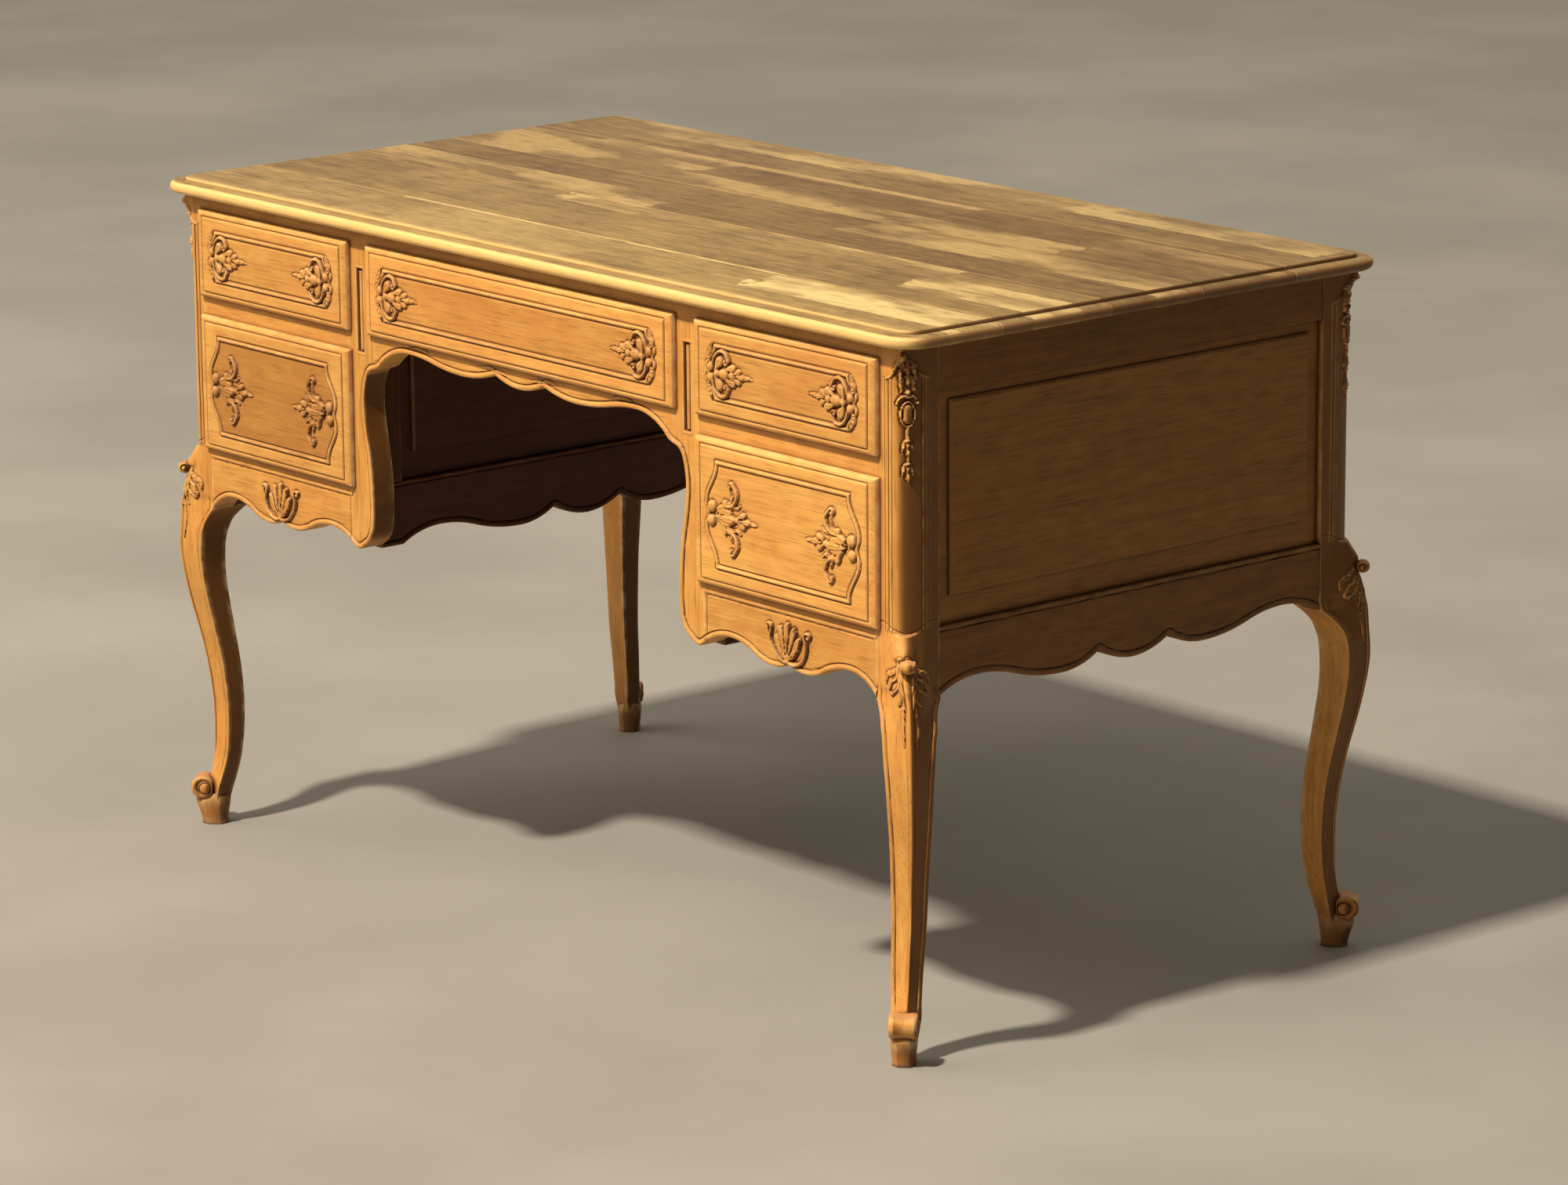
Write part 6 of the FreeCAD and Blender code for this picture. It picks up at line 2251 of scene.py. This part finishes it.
@dataclass
class CaseNodes:
    """The plain pieces of the frame, which keep their own solids and get a finish."""

    inside: tuple[str, ...] = ("runners", "kickers", "glue", "drawer_guides", "_drawer_")

    def grain(self, name: str) -> Grain:
        """The grain direction of a node.

        Args:
            name: The node's name.

        Returns:
            The axis along which the node is longest.
        """
        low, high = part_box(name)
        span = high - low
        return Grain(max(range(3), key=lambda i: span[i]))

    def look(self, name: str) -> tuple[OakFinish, str]:
        """The finish and the material slot of a node.

        Args:
            name: The node's name.

        Returns:
            The finish, and the slot's name in the record.
        """
        if name == "top_boards":
            return FINISHES.top, "top_oak"
        if name.endswith("_drawer_front"):
            return FINISHES.drawer, "drawer_front_oak"
        if any(part in name for part in self.inside):
            return FINISHES.inner, "inner_oak"
        if name.startswith("kneehole_"):
            return FINISHES.shaded, "case_oak"
        # The sides' panels and rails get darker oak as painted shade.
        if name.startswith("side_"):
            return FINISHES.side if "panel" in name else FINISHES.side_rail, "case_oak"
        return FINISHES.case, "case_oak"

    def build(self, nodes: dict[str, bpy.types.Object]) -> None:
        """Dresses every node that still shows.

        Args:
            nodes: The frame's nodes by name.
        """
        for name, piece in nodes.items():
            if not piece.hide_render:
                finish, slot = self.look(name)
                dress(piece, finish, self.grain(name), Surface.PLAIN)
                log.info("%s keeps its own solid", name)


@dataclass(frozen=True)
class Lamp:
    """A soft square lamp that shines at the desk: its place, its side in metres and its watts."""

    name: str
    place: Spot
    size: float
    power: float
    colour: Colour
    aim: Spot = (0.0, 0.0, 0.4)

    def hang(self) -> None:
        """Hangs the lamp."""
        light = bpy.data.lights.new(self.name, "AREA")
        light.size = self.size
        light.energy = self.power
        light.color = self.colour
        lamp = linked(self.name, light)
        lamp.location = self.place
        way = Vector(self.aim) - Vector(self.place)
        lamp.rotation_euler = way.to_track_quat("-Z", "Y").to_euler()


@dataclass
class Studio:
    """The floor, the light and the camera at the photograph's angle."""

    camera_place: Spot = (4983.48, -4181.06, 1918.72)
    azimuth: float = 49.68
    elevation: float = 13.67
    roll: float = -0.46
    focal_share: float = 3.79974
    sensor: float = 36.0
    far_end: float = 60.0
    floor_half: float = 9.0
    bright_side: Spot = (-0.32, 0.42, 0.85)
    sky_range: Span = (0.02, 0.62)
    sky_start: float = 0.05
    sky_colour: Colour = (0.98, 0.89, 0.76)
    floor_cloud: Pattern = Pattern(1.6, 5.0, 0.3, 0.75)
    floor_colours: tuple[Colour, Colour] = ((0.25, 0.235, 0.205), (0.31, 0.292, 0.258))
    floor_roughness: float = 0.75
    lamps: tuple[Lamp, ...] = (
        Lamp("key", (0.25, -7.8, 12.0), 0.8, 2850, (1.0, 0.90, 0.76)),
        Lamp("soft", (-3.6, -3.6, 4.4), 4.5, 150, (1.0, 0.90, 0.78)),
        Lamp("fill", (5.5, -1.5, 3.2), 4.0, 4, (1.0, 0.90, 0.80)),
    )

    def camera(self) -> None:
        """Creates the camera."""
        a, e, r = (math.radians(v) for v in (self.azimuth, self.elevation, self.roll))
        ahead = Vector((-math.sin(a) * math.cos(e), math.cos(a) * math.cos(e), -math.sin(e)))
        level = Vector((math.cos(a), math.sin(a), 0))
        upright = level.cross(ahead)
        right = math.cos(r) * level + math.sin(r) * upright
        up = -math.sin(r) * level + math.cos(r) * upright
        lens = bpy.data.cameras.new("camera")
        lens.sensor_width = self.sensor
        lens.lens = self.focal_share * self.sensor
        lens.clip_end = self.far_end
        view = linked("camera", lens)
        turn = Matrix((right, up, -ahead)).transposed().to_4x4()
        view.matrix_world = Matrix.Translation(Vector(self.camera_place) * MM) @ turn
        bpy.context.scene.camera = view

    def floor(self) -> None:
        """Lays the plain pale floor."""
        s = self.floor_half
        mesh = bpy.data.meshes.new("floor")
        mesh.from_pydata([(-s, -s, 0), (s, -s, 0), (s, s, 0), (-s, s, 0)], [], [(0, 1, 2, 3)])
        floor = linked("floor", mesh)
        t = NodeTable("pale_floor")
        colour = t.mix(t.pattern(t.place(), self.floor_cloud), *self.floor_colours)
        t.tree.links.new(colour, t.shader.inputs["Base Color"])
        t.shader.inputs["Roughness"].default_value = self.floor_roughness
        mesh.materials.append(t.material)
        floor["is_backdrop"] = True

    def light(self) -> None:
        """Hangs the warm key lamp, the soft lamp and the fill."""
        for lamp in self.lamps:
            lamp.hang()

    def sky(self) -> None:
        """Lights the surroundings, brighter towards one side."""
        world = bpy.data.worlds.new("studio")
        world.use_nodes = True
        nodes, links = world.node_tree.nodes, world.node_tree.links
        sky = nodes["Background"]
        sky.inputs["Color"].default_value = (*self.sky_colour, 1)
        facing = nodes.new("ShaderNodeVectorMath")
        facing.operation = "DOT_PRODUCT"
        facing.inputs[1].default_value = self.bright_side
        links.new(nodes.new("ShaderNodeTexCoord").outputs["Generated"], facing.inputs[0])
        spread = nodes.new("ShaderNodeMapRange")
        for socket, value in zip((1, 2, 3, 4), (self.sky_start, 1.0, *self.sky_range)):
            spread.inputs[socket].default_value = value
        links.new(facing.outputs["Value"], spread.inputs[0])
        links.new(spread.outputs[0], sky.inputs["Strength"])
        bpy.context.scene.world = world
        bpy.context.scene.view_settings.view_transform = "Standard"

    def build(self) -> None:
        """Sets up the whole studio."""
        self.camera()
        self.floor()
        self.light()
        self.sky()


def drawer_fronts() -> list[DrawerFront]:
    """The five drawer fronts at their places."""
    d = DESK
    fronts = []
    for side, x0, x1 in (("right", d.bank_inner, d.bank_outer), ("left", -d.bank_outer, -d.bank_inner)):
        fronts.append(DrawerFront(
            "upper_" + side, x0, x1, d.upper_foot, d.upper_top, EndSpray.ROSETTE, tone=-0.08,
        ))
        fronts.append(DrawerFront(
            "lower_" + side, x0, x1, d.lower_foot, d.lower_top, EndSpray.TALL, panel_bulge=16.0,
            tone=-0.02 if side == "right" else -0.30,
        ))
    fronts.append(DrawerFront(
        "centre", -d.centre_half, d.centre_half, d.upper_foot, d.upper_top, EndSpray.ROSETTE, tone=-0.20,
    ))
    return fronts


def write_sizes(visual_box: Box) -> None:
    """Takes the dressed desk's box and writes nothing; it only defines how a box becomes plain lists.

    Args:
        visual_box: The dressed desk's lowest and highest corners; not used.
    """
    def plain(box: Box) -> list[list[float]]:
        """A box's corners as lists of numbers."""
        return [[float(v) for v in corner] for corner in box]


def main() -> None:
    """Builds and dresses the desk piece by piece."""
    logging.basicConfig(level=logging.INFO, format="%(name)s: %(message)s")
    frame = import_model()
    Studio().build()
    DeskTop().build()
    for front in drawer_fronts():
        front.build()
    FrontFrame().build()
    SideAprons().build()
    build_legs()
    CaseNodes().build(frame["nodes"])
    write_sizes(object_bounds())


if __name__ == "__main__":
    main()
